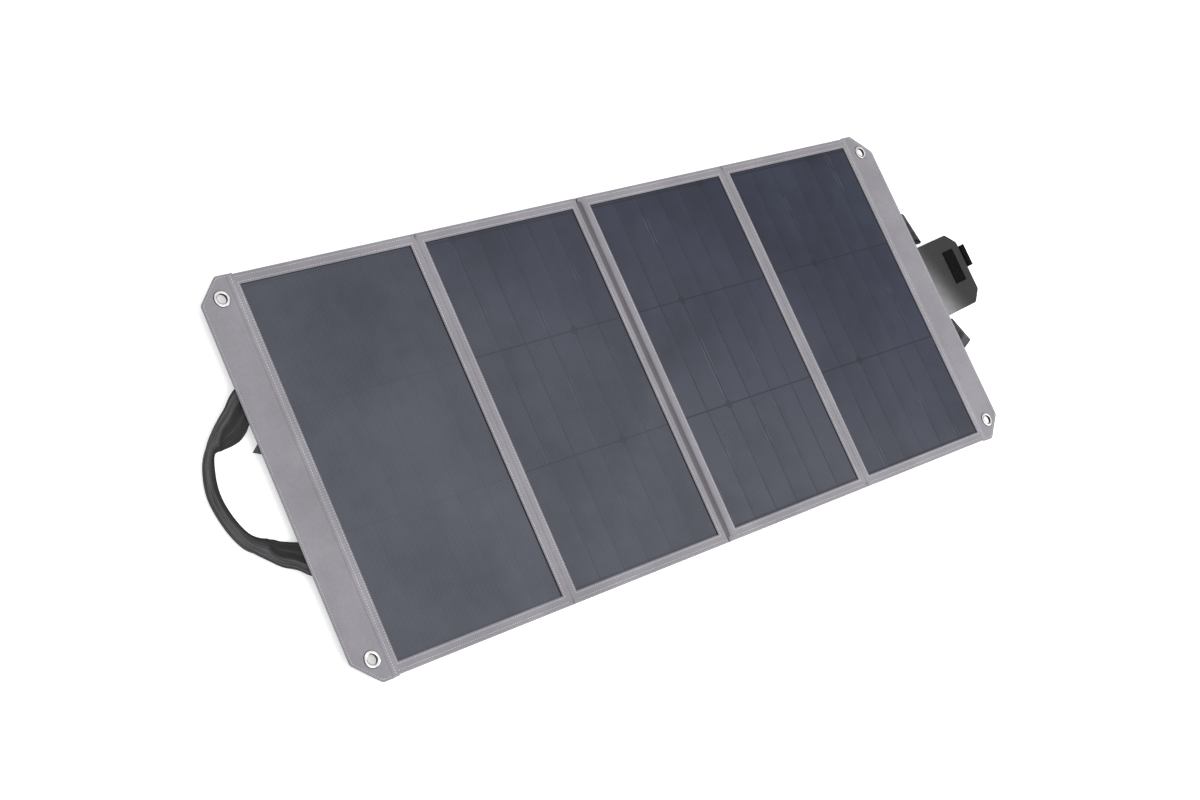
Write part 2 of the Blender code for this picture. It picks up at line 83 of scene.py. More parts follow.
class Nodes:
    """Short calls for building a material's node tree."""

    def __init__(self, name):
        self.material = bpy.data.materials.new(name)
        self.material.use_nodes = True
        self.tree = self.material.node_tree
        self.shader = self.tree.nodes["Principled BSDF"]

    def add(self, kind, **settings):
        node = self.tree.nodes.new(kind)
        for key, value in settings.items():
            setattr(node, key, value)
        return node

    def join(self, source, target):
        self.tree.links.new(source, target)

    def math(self, operation, a, b=None, c=None, clamp=False):
        node = self.add("ShaderNodeMath", operation=operation, use_clamp=clamp)
        for socket, value in zip(node.inputs, (a, b, c)):
            if value is None:
                continue
            if isinstance(value, (int, float)):
                socket.default_value = value
            else:
                self.join(value, socket)
        return node.outputs[0]

    def position(self):
        coordinates = self.add("ShaderNodeTexCoord")
        parts = self.add("ShaderNodeSeparateXYZ")
        self.join(coordinates.outputs["Object"], parts.inputs[0])
        return coordinates.outputs["Object"], parts.outputs

    def strap_position(self):
        coordinates = self.add("ShaderNodeUVMap", uv_map="strap")
        parts = self.add("ShaderNodeSeparateXYZ")
        self.join(coordinates.outputs[0], parts.inputs[0])
        return coordinates.outputs[0], parts.outputs

    def noise(self, vector, scale, detail=3.0, roughness=0.5):
        node = self.add("ShaderNodeTexNoise")
        self.join(vector, node.inputs["Vector"])
        node.inputs["Scale"].default_value = scale
        node.inputs["Detail"].default_value = detail
        node.inputs["Roughness"].default_value = roughness
        return node.outputs[0]

    def remap(self, value, low, high, to_low, to_high, smooth=False):
        kind = "SMOOTHSTEP" if smooth else "LINEAR"
        node = self.add("ShaderNodeMapRange", interpolation_type=kind)
        self.join(value, node.inputs[0])
        for socket, number in zip(node.inputs[1:5], (low, high, to_low, to_high)):
            socket.default_value = number
        return node.outputs[0]

    def mix(self, factor, a, b):
        node = self.add("ShaderNodeMix", data_type="RGBA")
        if isinstance(factor, (int, float)):
            node.inputs[0].default_value = factor
        else:
            self.join(factor, node.inputs[0])
        for socket, value in ((node.inputs[6], a), (node.inputs[7], b)):
            if isinstance(value, tuple):
                socket.default_value = (*value, 1.0)
            else:
                self.join(value, socket)
        return node.outputs[2]

    def bump(self, height, strength, distance, under=None):
        node = self.add("ShaderNodeBump")
        node.inputs["Strength"].default_value = strength
        node.inputs["Distance"].default_value = distance
        self.join(height, node.inputs["Height"])
        if under is not None:
            self.join(under, node.inputs["Normal"])
        return node.outputs[0]

    def finish(self, colour=None, roughness=None, normal=None, **sockets):
        if colour is not None:
            self.join(colour, self.shader.inputs["Base Color"])
        if isinstance(roughness, (int, float)):
            self.shader.inputs["Roughness"].default_value = roughness
        elif roughness is not None:
            self.join(roughness, self.shader.inputs["Roughness"])
        if normal is not None:
            self.join(normal, self.shader.inputs["Normal"])
        for key, value in sockets.items():
            self.shader.inputs[key.replace("_", " ")].default_value = value
        return self.material


def weave(nodes, along, across, pitch):
    """A plain weave's height: threads over and under each other in both directions."""
    turn = 2 * math.pi / pitch
    a = nodes.math("SINE", nodes.math("MULTIPLY", along, turn))
    b = nodes.math("SINE", nodes.math("MULTIPLY", across, turn))
    over = nodes.math("MULTIPLY", a, b)
    ribs_a = nodes.math("ABSOLUTE", nodes.math("SINE", nodes.math("MULTIPLY", along, turn / 2)))
    ribs_b = nodes.math("ABSOLUTE", nodes.math("SINE", nodes.math("MULTIPLY", across, turn / 2)))
    ribs = nodes.math("MULTIPLY", ribs_a, ribs_b)
    return nodes.math("ADD", nodes.math("MULTIPLY", over, 0.5), ribs)


def fabric(name, dark, light, pitch=0.75 * MM, shade_below=None, depth=0.88, sheen=0.2, strength=0.5):
    """Woven polyester: fine threads and mottled dye, with painted shade below the height `shade_below`, in folds,
    hollows and turned-in edges.
    """
    nodes = Nodes(name)
    vector, at = nodes.position()
    threads = weave(nodes, at[0], at[1], pitch)
    melange = nodes.noise(vector, 1100.0, 2.0, 0.6)
    cloud = nodes.noise(vector, 14.0, 4.0, 0.55)
    slub = nodes.noise(vector, 260.0, 2.0, 0.5)
    tone = nodes.math("ADD", nodes.math("MULTIPLY", melange, 0.35), nodes.math("MULTIPLY", cloud, 0.45))
    tone = nodes.math("ADD", tone, nodes.math("MULTIPLY", slub, 0.15))
    tone = nodes.math("ADD", tone, nodes.math("MULTIPLY", threads, 0.05))
    colour = nodes.mix(nodes.remap(tone, 0.34, 0.68, 0.0, 1.0, smooth=True), dark, light)
    # Painted shade: the colour runs towards near black below shade_below, standing in for shadow in folds and under
    # lips.
    if shade_below is not None:
        fold = nodes.remap(at[2], shade_below - 1.1 * MM, shade_below, depth, 0.0, smooth=True)
        colour = nodes.mix(fold, colour, tuple(value * 0.16 for value in dark))
    puckers = nodes.bump(slub, 0.22, 0.4 * MM)
    normal = nodes.bump(threads, strength, 0.12 * MM, puckers)
    rough = nodes.remap(cloud, 0.3, 0.7, 0.78, 0.9)
    material = nodes.finish(colour, rough, normal, Specular_IOR_Level=0.25)
    nodes.shader.inputs["Sheen Weight"].default_value = sheen
    nodes.shader.inputs["Sheen Roughness"].default_value = 0.45
    return material


def webbing(name, dark, light):
    """Ribbed nylon webbing: lengthwise ribs with a short diagonal weave across each, streaks of wear and painted
    sheen, a painted sheen band and a painted crease shadow.
    """
    nodes = Nodes(name)
    vector, at = nodes.strap_position()
    along, across = at[0], at[1]
    rib_pitch = 2.6 * MM
    rib = nodes.math("SINE", nodes.math("MULTIPLY", across, 2 * math.pi / rib_pitch))
    slope = nodes.math("ADD", along, nodes.math("MULTIPLY", nodes.math("ABSOLUTE", rib), 0.9 * MM))
    picks = nodes.math("SINE", nodes.math("MULTIPLY", slope, 2 * math.pi / (1.3 * MM)))
    height = nodes.math("ADD", rib, nodes.math("MULTIPLY", picks, 0.45))
    stretch = nodes.add("ShaderNodeMapping")
    stretch.inputs["Scale"].default_value = (1.0, 14.0, 1.0)
    nodes.join(vector, stretch.inputs["Vector"])
    # Lengthwise streaks, partly random wear and partly painted sheen.
    wear_and_sheen = nodes.noise(stretch.outputs[0], 16.0, 3.0, 0.55)
    fuzz = nodes.noise(vector, 900.0, 2.0, 0.6)
    tone = nodes.math("ADD", nodes.math("MULTIPLY", height, 0.07), nodes.math("MULTIPLY", wear_and_sheen, 0.85))
    tone = nodes.math("ADD", tone, nodes.math("MULTIPLY", fuzz, 0.15))
    # Painted sheen: a lighter stripe about 7 mm in from the outer edge.
    from_sheen_band = nodes.math("ABSOLUTE", nodes.math("SUBTRACT", across, 7.0 * MM))
    sheen_band = nodes.remap(from_sheen_band, 4.0 * MM, 7.5 * MM, 0.22, 0.0, smooth=True)
    colour = nodes.mix(nodes.remap(nodes.math("ADD", tone, sheen_band), 0.46, 0.9, 0.0, 1.0, smooth=True), dark, light)
    # Painted shadow: a dark line along the doubled strap's crease, 18 mm across.
    from_crease = nodes.math("ABSOLUTE", nodes.math("SUBTRACT", across, 18.0 * MM))
    crease = nodes.remap(from_crease, 1.2 * MM, 3.2 * MM, 0.85, 0.0, smooth=True)
    colour = nodes.mix(crease, colour, (0.004, 0.004, 0.004))
    normal = nodes.bump(height, 0.6, 0.25 * MM)
    rough = nodes.remap(wear_and_sheen, 0.3, 0.7, 0.42, 0.62)
    return nodes.finish(colour, rough, normal, Specular_IOR_Level=0.35)


def hook_pile(name):
    """Hook fastener: a field of tiny stiff hooks on a woven ground."""
    nodes = Nodes(name)
    vector, _ = nodes.position()
    dots = nodes.add("ShaderNodeTexVoronoi", feature="F1")
    nodes.join(vector, dots.inputs["Vector"])
    dots.inputs["Scale"].default_value = 750.0
    grain = nodes.noise(vector, 1500.0, 2.0)
    height = nodes.math("ADD", dots.outputs["Distance"], nodes.math("MULTIPLY", grain, 0.5))
    colour = nodes.mix(nodes.remap(height, 0.2, 0.9, 1.0, 0.0), (0.003, 0.003, 0.003), (0.014, 0.014, 0.015))
    normal = nodes.bump(height, 1.0, 0.7 * MM)
    return nodes.finish(colour, 0.95, normal, Specular_IOR_Level=0.08)


def nickel(name, shoulder):
    """Bright plate on the crest of a ring, with painted shade below its shoulder height."""
    nodes = Nodes(name)
    vector, at = nodes.position()
    tarnish = nodes.noise(vector, 160.0, 4.0, 0.6)
    scratches = nodes.noise(vector, 1200.0, 2.0, 0.4)
    bright = nodes.mix(nodes.remap(tarnish, 0.35, 0.75, 0.0, 1.0), (0.86, 0.86, 0.85), (0.55, 0.54, 0.53))
    # Painted shade: the ring goes near black below its shoulder so only the crest reads bright.
    low = nodes.remap(at[2], shoulder - 0.25 * MM, shoulder + 0.15 * MM, 1.0, 0.0, smooth=True)
    colour = nodes.mix(low, bright, (0.07, 0.07, 0.07))
    rough = nodes.remap(tarnish, 0.3, 0.7, 0.1, 0.26)
    normal = nodes.bump(scratches, 0.12, 0.1 * MM)
    return nodes.finish(colour, rough, normal, Metallic=1.0)


def plastic(name, colour):
    """Moulded plastic with a fine spark grain."""
    nodes = Nodes(name)
    vector, _ = nodes.position()
    grain = nodes.noise(vector, 1400.0, 3.0, 0.6)
    rub = nodes.noise(vector, 60.0, 3.0)
    lighter = tuple(value * 1.8 for value in colour)
    mixed = nodes.mix(nodes.remap(rub, 0.4, 0.8, 0.0, 0.6), colour, lighter)
    return nodes.finish(mixed, nodes.remap(rub, 0.3, 0.7, 0.42, 0.58), nodes.bump(grain, 0.3, 0.15 * MM))


def laminate(name, colour):
    """Glass-filled board with its woven glass showing faintly."""
    nodes = Nodes(name)
    vector, at = nodes.position()
    glass = weave(nodes, at[0], at[1], 1.6 * MM)
    cloud = nodes.noise(vector, 40.0, 3.0)
    mixed = nodes.mix(nodes.remap(cloud, 0.3, 0.7, 0.0, 1.0), colour, tuple(value * 1.3 for value in colour))
    return nodes.finish(mixed, 0.5, nodes.bump(glass, 0.25, 0.1 * MM))


def film(number, window_x, clarity, diamonds):
    """Textured front film with the cells under it: their ribbons, row gaps and cut corners, with a painted reflection
    fading to the upper right, a painted glint on its fine ridges and painted shadow along the window's edges.

    `clarity` says how plainly the cells show; `diamonds` lists (ribbon number, row line)
    where the cut corners of four wafers meet.
    """
    nodes = Nodes(f"front_film_{number}")
    vector, at = nodes.position()
    width, height = window_x[1] - window_x[0], WINDOW_Y[1] - WINDOW_Y[0]
    x = nodes.math("SUBTRACT", at[0], window_x[0])
    y = nodes.math("SUBTRACT", at[1], WINDOW_Y[0])
    ribbon_pitch, row_pitch, row_start = width / 6, 160.0 * MM, 2.5 * MM
    wander = nodes.noise(vector, 11.0, 2.0)
    to_ribbon = nodes.math("PINGPONG", x, ribbon_pitch / 2)
    to_row = nodes.math("PINGPONG", nodes.math("SUBTRACT", y, row_start), row_pitch / 2)
    ribbon = nodes.remap(to_ribbon, 0.5 * MM, 1.9 * MM, 1.0, 0.0, smooth=True)
    ribbon = nodes.math("MULTIPLY", ribbon, nodes.remap(wander, 0.38, 0.6, 0.25, 0.75))
    row = nodes.remap(to_row, 0.5 * MM, 1.6 * MM, 0.85, 0.0, smooth=True)
    marks = nodes.math("MAXIMUM", ribbon, row)
    for ribbon_number, row_number in diamonds:
        dx = nodes.math("ABSOLUTE", nodes.math("SUBTRACT", x, ribbon_number * ribbon_pitch))
        row_y = row_start + row_number * row_pitch
        dy = nodes.math("ABSOLUTE", nodes.math("SUBTRACT", y, row_y))
        spread = nodes.math("ADD", dx, dy)
        diamond = nodes.remap(spread, 7.2 * MM, 9.0 * MM, 0.8, 0.0, smooth=True)
        marks = nodes.math("MAXIMUM", marks, diamond)
    cloud = nodes.noise(vector, 6.0, 3.0, 0.5)
    drift = nodes.noise(vector, 40.0, 3.0, 0.55)
    # Painted reflection: the cells are paler at the lower left and fade to dark blue towards the upper right.
    climb = nodes.math("ADD", nodes.math("MULTIPLY", at[0], 0.55), nodes.math("MULTIPLY", at[1], 0.95))
    reflection_fade = nodes.remap(climb, -0.32, 0.40, 0.0, 1.0, smooth=True)
    tone = nodes.remap(nodes.math("ADD", cloud, nodes.math("MULTIPLY", drift, 0.3)), 0.48, 0.82, 0.0, 1.0)
    facet = nodes.math("FRACT", nodes.math("DIVIDE", x, ribbon_pitch))
    tone = nodes.math("ADD", tone, nodes.math("MULTIPLY", facet, 0.35 * clarity), clamp=True)
    pale = nodes.mix(tone, (0.036, 0.040, 0.053), (0.060, 0.066, 0.082))
    blue = nodes.mix(tone, (0.014, 0.016, 0.031), (0.026, 0.030, 0.052))
    cell = nodes.mix(reflection_fade, pale, blue)
    shade = nodes.math("MULTIPLY", marks, nodes.math("MULTIPLY", clarity, 0.85))
    cell = nodes.mix(shade, cell, (0.009, 0.011, 0.014))
    beside = nodes.math("ABSOLUTE", nodes.math("SUBTRACT", to_ribbon, 2.6 * MM))
    streak = nodes.remap(beside, 0.3 * MM, 1.2 * MM, 0.5, 0.0, smooth=True)
    patches = nodes.remap(nodes.noise(vector, 17.0, 3.0, 0.5), 0.58, 0.72, 0.0, 1.0, smooth=True)
    streak = nodes.math("MULTIPLY", nodes.math("MULTIPLY", streak, patches), clarity)
    cell = nodes.mix(streak, cell, (0.11, 0.125, 0.145))
    # Painted glint on the film's fine ridges, weaker where the painted reflection has faded.
    turn = 2 * math.pi / (2.3 * MM)
    fine = nodes.math("SINE", nodes.math("MULTIPLY", y, turn))
    slant_a = nodes.math("ADD", nodes.math("MULTIPLY", x, 0.866), nodes.math("MULTIPLY", y, 0.5))
    slant_b = nodes.math("SUBTRACT", nodes.math("MULTIPLY", x, 0.866), nodes.math("MULTIPLY", y, 0.5))
    wave_a = nodes.math("SINE", nodes.math("MULTIPLY", slant_a, turn))
    wave_b = nodes.math("SINE", nodes.math("MULTIPLY", slant_b, turn))
    comb = nodes.math("ADD", nodes.math("ADD", wave_a, wave_b), nodes.math("MULTIPLY", fine, 2.2))
    glint = nodes.remap(comb, -2.6, 3.2, 0.0, 0.52 - 0.1 * number)
    glint = nodes.math("MULTIPLY", glint, nodes.remap(reflection_fade, 0.0, 1.0, 1.0, 0.35))
    colour = nodes.mix(glint, cell, (0.15, 0.16, 0.185))
    # Painted shadow: dark lines along the window's far side, top and near side, where the fabric lip shades the film.
    from_side = nodes.math("SUBTRACT", width, x)
    from_top = nodes.math("SUBTRACT", height, y)
    side = nodes.remap(from_side, 1.2 * MM, 2.8 * MM, 0.95, 0.0, smooth=True)
    above = nodes.remap(from_top, 0.5 * MM, 1.7 * MM, 0.8, 0.0, smooth=True)
    near = nodes.remap(x, 0.2 * MM, 1.0 * MM, 0.6, 0.0, smooth=True)
    rim_shadow = nodes.math("MAXIMUM", nodes.math("MAXIMUM", side, above), near)
    colour = nodes.mix(rim_shadow, colour, (0.003, 0.003, 0.004))
    normal = nodes.bump(comb, 0.4, 0.10 * MM, nodes.bump(drift, 0.10, 1.2 * MM))
    rough = nodes.remap(cloud, 0.3, 0.7, 0.36, 0.46)
    return nodes.finish(colour, rough, normal, IOR=1.42, Specular_IOR_Level=0.3)


def tab_fabric(name, start_x, end_x):
    """Dark coated fabric with painted sheen: paler towards the crease and the lower corner."""
    nodes = Nodes(name)
    vector, at = nodes.position()
    threads = weave(nodes, at[0], at[1], 0.8 * MM)
    # Painted sheen: a pale gradient by position, broken up by noise.
    out = nodes.math("SUBTRACT", at[0], start_x)
    down = nodes.math("MULTIPLY", nodes.math("SUBTRACT", at[1], MID_Y), 0.42)
    reach = nodes.math("ADD", out, down)
    length = end_x - start_x
    wear_and_sheen = nodes.remap(reach, -0.3 * length, 0.62 * length, 1.0, 0.0, smooth=True)
    cloud = nodes.noise(vector, 60.0, 4.0, 0.6)
    wear_and_sheen = nodes.math("MULTIPLY", wear_and_sheen, nodes.remap(cloud, 0.2, 0.7, 0.85, 1.0))
    fuzz = nodes.noise(vector, 900.0, 2.0)
    base = nodes.mix(nodes.remap(fuzz, 0.35, 0.65, 0.0, 1.0), (0.024, 0.024, 0.025), (0.036, 0.036, 0.037))
    colour = nodes.mix(nodes.math("POWER", wear_and_sheen, 1.9), base, (0.30, 0.30, 0.30))
    normal = nodes.bump(threads, 0.5, 0.12 * MM)
    return nodes.finish(colour, 0.78, normal, Specular_IOR_Level=0.3)


GREY_DARK, GREY_LIGHT = (0.225, 0.213, 0.235), (0.30, 0.287, 0.312)
# Painted shade below each shade_below: GREY on the window lips, HINGE in the hinge valleys, FLAP on its rolled edge,
# BINDING at the seam band's foot.
GREY = fabric("grey_weave", GREY_DARK, GREY_LIGHT, shade_below=FRONT_Z - 0.55 * MM)
HINGE = fabric("hinge_weave", GREY_DARK, GREY_LIGHT, shade_below=FRONT_Z - 0.9 * MM, depth=0.62)
FLAP = fabric("flap_weave", GREY_DARK, GREY_LIGHT, shade_below=FLAP_TOP - 0.35 * MM)
BINDING = fabric("binding_tape", (0.25, 0.238, 0.26), (0.33, 0.316, 0.342), pitch=1.1 * MM, shade_below=FLAP_TOP + 0.35 * MM, depth=0.5)
BACK = fabric("back_weave", (0.050, 0.050, 0.055), (0.085, 0.085, 0.092), pitch=0.9 * MM, sheen=0.15)
DARK = fabric("dark_weave", (0.038, 0.038, 0.041), (0.070, 0.070, 0.074), pitch=0.8 * MM, sheen=0.15)
THREAD = fabric("thread", (0.62, 0.61, 0.64), (0.85, 0.84, 0.86), pitch=0.35 * MM, strength=0.3)
DARK_THREAD = fabric("dark_thread", (0.10, 0.10, 0.105), (0.17, 0.17, 0.175), pitch=0.35 * MM)
STRAP = webbing("black_webbing", (0.007, 0.007, 0.008), (0.080, 0.080, 0.083))
HOOK = hook_pile("hook_fastener")
NICKEL = nickel("nickel_plate", FLAP_TOP + 1.12 * MM)
BLACK_PLASTIC = plastic("black_plastic", (0.018, 0.018, 0.020))
BOARD = laminate("glass_board", (0.10, 0.11, 0.085))
SILICON = laminate("silicon", (0.012, 0.014, 0.024))


# ---------------------------------------------------------------- mesh builders

def new_piece(name, mesh, material, smooth=True):
    """A mesh object made from a bmesh, with its normals outwards."""
    bmesh.ops.recalc_face_normals(mesh, faces=mesh.faces)
    data = bpy.data.meshes.new(name)
    mesh.to_mesh(data)
    mesh.free()
    if smooth:
        data.shade_smooth()
        data.set_sharp_from_angle(angle=math.radians(50))
    data.materials.append(material)
    piece = bpy.data.objects.new(name, data)
    bpy.context.scene.collection.objects.link(piece)
    return piece


def spaced(marks, step):
    """The marks in order, with even points between them no further apart than step."""
    values = []
    for low, high in zip(marks, marks[1:]):
        count = max(1, math.ceil((high - low) / step - 1e-6))
        values += [low + (high - low) * k / count for k in range(count)]
    return np.array(values + [marks[-1]])


def grid_body(name, xs, ys, top, bottom, material, keep=None):
    """A closed cloth body over a grid: top and bottom heights are functions of x and y."""
    grid_x, grid_y = np.meshgrid(xs, ys, indexing="ij")
    high, low = top(grid_x, grid_y), bottom(grid_x, grid_y)
    columns, rows = len(xs) - 1, len(ys) - 1
    used = np.ones((columns, rows), bool)
    if keep is not None:
        middle_x = (grid_x[:-1, :-1] + grid_x[1:, 1:]) / 2
        middle_y = (grid_y[:-1, :-1] + grid_y[1:, 1:]) / 2
        used = keep(middle_x, middle_y)
    mesh = bmesh.new()
    made = {}

    def vertex(i, j, upper):
        key = (i, j, upper)
        if key not in made:
            z = high[i, j] if upper else low[i, j]
            made[key] = mesh.verts.new((xs[i], ys[j], z))
        return made[key]

    def is_used(i, j):
        return 0 <= i < columns and 0 <= j < rows and used[i, j]

    for i in range(columns):
        for j in range(rows):
            if not used[i, j]:
                continue
            ring = [(i, j), (i + 1, j), (i + 1, j + 1), (i, j + 1)]
            mesh.faces.new([vertex(*corner, True) for corner in ring])
            mesh.faces.new([vertex(*corner, False) for corner in reversed(ring)])
            beside = [(i, j - 1), (i + 1, j), (i, j + 1), (i - 1, j)]
            for side, neighbour in enumerate(beside):
                if not is_used(*neighbour):
                    a, b = ring[side], ring[(side + 1) % 4]
                    wall = (vertex(*b, True), vertex(*a, True), vertex(*a, False), vertex(*b, False))
                    mesh.faces.new(wall)
    return new_piece(name, mesh, material)


def rounded(corners, radius, steps=5):
    """A closed outline with each corner of a convex polygon rounded."""
    points = []
    count = len(corners)
    for k in range(count):
        before, here, after = (Vector(corners[(k + shift) % count]) for shift in (-1, 0, 1))
        inward, outward = (before - here).normalized(), (after - here).normalized()
        half = inward.angle(outward) / 2
        back = radius / math.tan(half)
        centre = here + (inward + outward).normalized() * (radius / math.sin(half))
        first, last = here + inward * back, here + outward * back
        start, end = first - centre, last - centre
        for step in range(steps + 1):
            share = step / steps
            arm = (start * (1 - share) + end * share).normalized() * radius
            points.append(centre + arm)
    return points


def inset(points, distance):
    """A convex, anticlockwise outline moved inwards by distance."""
    moved = []
    count = len(points)
    for k in range(count):
        before, here, after = points[k - 1], points[k], points[(k + 1) % count]
        a, b = (here - before).normalized(), (after - here).normalized()
        normal = Vector((-(a.y + b.y), a.x + b.x))
        if normal.length < 1e-9:
            normal = Vector((-a.y, a.x))
        normal.normalize()
        lean = max(0.5, normal.dot(Vector((-a.y, a.x))))
        moved.append(here + normal * (distance / lean))
    return moved


def pad(name, outline, rings, material, shape=None):
    """A closed body from an outline and its (inset, height) rings, lowest first.

    `shape` may change each point's height, as (x, y, z) -> z.
    """
    mesh = bmesh.new()
    loops = []
    for distance, z in rings:
        loop = []
        for point in inset(outline, distance):
            height = shape(point.x, point.y, z) if shape else z
            loop.append(mesh.verts.new((point.x, point.y, height)))
        loops.append(loop)
    count = len(outline)
    for lower, upper in zip(loops, loops[1:]):
        for k in range(count):
            following = (k + 1) % count
            mesh.faces.new((lower[k], lower[following], upper[following], upper[k]))
    mesh.faces.new(list(reversed(loops[0])))
    mesh.faces.new(loops[-1])
    return new_piece(name, mesh, material)


def cloth_rings(low, high, edge=0.8 * MM, stitch=3.2 * MM):
    """Rings for a sewn two-layer piece: a rolled edge with a stitched dimple behind it."""
    middle = (low + high) / 2
    dip = 0.18 * MM
    return [
        (stitch + 1.4 * MM, low),
        (edge * 1.4, low),
        (edge * 0.3, low + (middle - low) * 0.5),
        (0.0, middle),
        (edge * 0.3, high - (high - middle) * 0.4),
        (edge * 1.4, high),
        (stitch - 1.0 * MM, high + 0.05 * MM),
        (stitch, high - dip),
        (stitch + 1.0 * MM, high + 0.02 * MM),
        (stitch + 2.6 * MM, high),
    ]


def pierced(piece, centres, radius, height):
    """Round holes through a piece, cut and applied."""
    mesh = bmesh.new()
    for x, y, z in centres:
        hole = bmesh.ops.create_cone(
            mesh, cap_ends=True, segments=40, radius1=radius, radius2=radius, depth=height
        )["verts"]
        bmesh.ops.translate(mesh, vec=(x, y, z), verts=hole)
    cutter = new_piece(piece.name + "_punch", mesh, THREAD, smooth=False)
    step = piece.modifiers.new("holes", "BOOLEAN")
    step.object = cutter
    step.solver = "EXACT"
    bpy.context.view_layer.update()
    evaluated = piece.evaluated_get(bpy.context.evaluated_depsgraph_get())
    cut = bpy.data.meshes.new_from_object(evaluated)
    piece.modifiers.clear()
    piece.data = cut
    piece.data.set_sharp_from_angle(angle=math.radians(50))
    bpy.data.objects.remove(cutter)
    return piece


def lathe(name, profile, centre, material, steps=56):
    """A closed ring turned about +Z from a closed profile of (radius, z) points."""
    mesh = bmesh.new()
    rings = []
    for step in range(steps):
        angle = 2 * math.pi * step / steps
        across = (math.cos(angle), math.sin(angle))
        rings.append(
            [
                mesh.verts.new((centre[0] + r * across[0], centre[1] + r * across[1], z))
                for r, z in profile
            ]
        )
    for step in range(steps):
        here, there = rings[step], rings[(step + 1) % steps]
        for k in range(len(profile)):
            following = (k + 1) % len(profile)
            mesh.faces.new((here[k], there[k], there[following], here[following]))
    return new_piece(name, mesh, material)


STITCH_TEMPLATE = bmesh.new()
bmesh.ops.create_icosphere(STITCH_TEMPLATE, subdivisions=1, radius=1.0)
STITCH_POINTS = np.array([vertex.co[:] for vertex in STITCH_TEMPLATE.verts])
STITCH_FACES = np.array([[vertex.index for vertex in face.verts] for face in STITCH_TEMPLATE.faces])
STITCH_TEMPLATE.free()


def stitches(name, runs, body, material, pitch=3.4 * MM, length=2.3 * MM, radius=0.42 * MM):
    """Lock stitches along straight runs, each run a pair of end points, in one piece."""
    points, faces = [], []
    total = 0
    for start, end in runs:
        start, end = np.array(start, float), np.array(end, float)
        span = np.linalg.norm(end - start)
        along = (end - start) / span
        side = np.cross((0.0, 0.0, 1.0), along)
        side /= np.linalg.norm(side)
        up = np.cross(along, side)
        axes = np.array([along * length / 2, side * radius, up * radius * 0.8])
        count = max(1, int(span / pitch))
        for k in range(count):
            middle = start + along * span * (k + 0.5) / count
            points.append(STITCH_POINTS @ axes + middle)
            faces.append(STITCH_FACES + total)
            total += len(STITCH_POINTS)
    data = bpy.data.meshes.new(name)
    data.from_pydata(np.concatenate(points).tolist(), [], np.concatenate(faces).tolist())
    data.shade_smooth()
    data.materials.append(material)
    piece = bpy.data.objects.new(name, data)
    bpy.context.scene.collection.objects.link(piece)
    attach(piece, body)
    return piece


def closed_runs(points, z):
    """Runs round a closed outline at height z."""
    places = [(point.x, point.y, z) for point in points]
    return list(zip(places, places[1:] + places[:1]))


# ---------------------------------------------------------------- the front

LIP = 1.1 * MM  # rounding where the fabric turns in to the film
SEAM_D = 2.7 * MM  # stitch line outside the window
TAPE = 6.2 * MM  # binding tape on the upper and lower edges
TAPE_SEAM = 4.6 * MM
RIM = 0.95 * MM  # the binding's thickness round the panel's edge


def edge_gap(y):
    """Distance in from the blanket's upper or lower edge."""
    return np.minimum(y - LOW_Y, HIGH_Y - y)


def border_height(y):
    """What the binding tape and the rounded edge add to the fabric's height."""
    gap = edge_gap(y)
    over_tape = 0.42 * MM * (0.5 - 0.5 * np.tanh((gap - TAPE) / (0.28 * MM)))
    seam = 0.22 * MM * np.exp(-(((gap - TAPE_SEAM) / (0.55 * MM)) ** 2))
    turn = np.clip(1 - gap / (1.8 * MM), 0, 1)
    rounding = 1.7 * MM * (1 - np.sqrt(np.clip(1 - turn**2, 0, 1)))
    return over_tape - seam - rounding


def border_marks(low, high):
    """Grid lines across the two borders, close together where the height changes."""
    steps = (0.0, 0.25, 0.6, 0.93, 0.97, 1.4, 1.9, 3.2, 4.0, 4.6, 5.2, 5.8, 6.2, 6.6, 7.4)
    lower = [low + step * MM for step in steps]
    return lower, [high - step * MM for step in reversed(steps)]


def rim_bottom(inner):
    """The body's underside: flat inside, and down over the board's edge at the rim."""

    def height(x, y):
        return np.where(edge_gap(y) < RIM, BACK_Z + 0.85 * MM, inner)

    return height


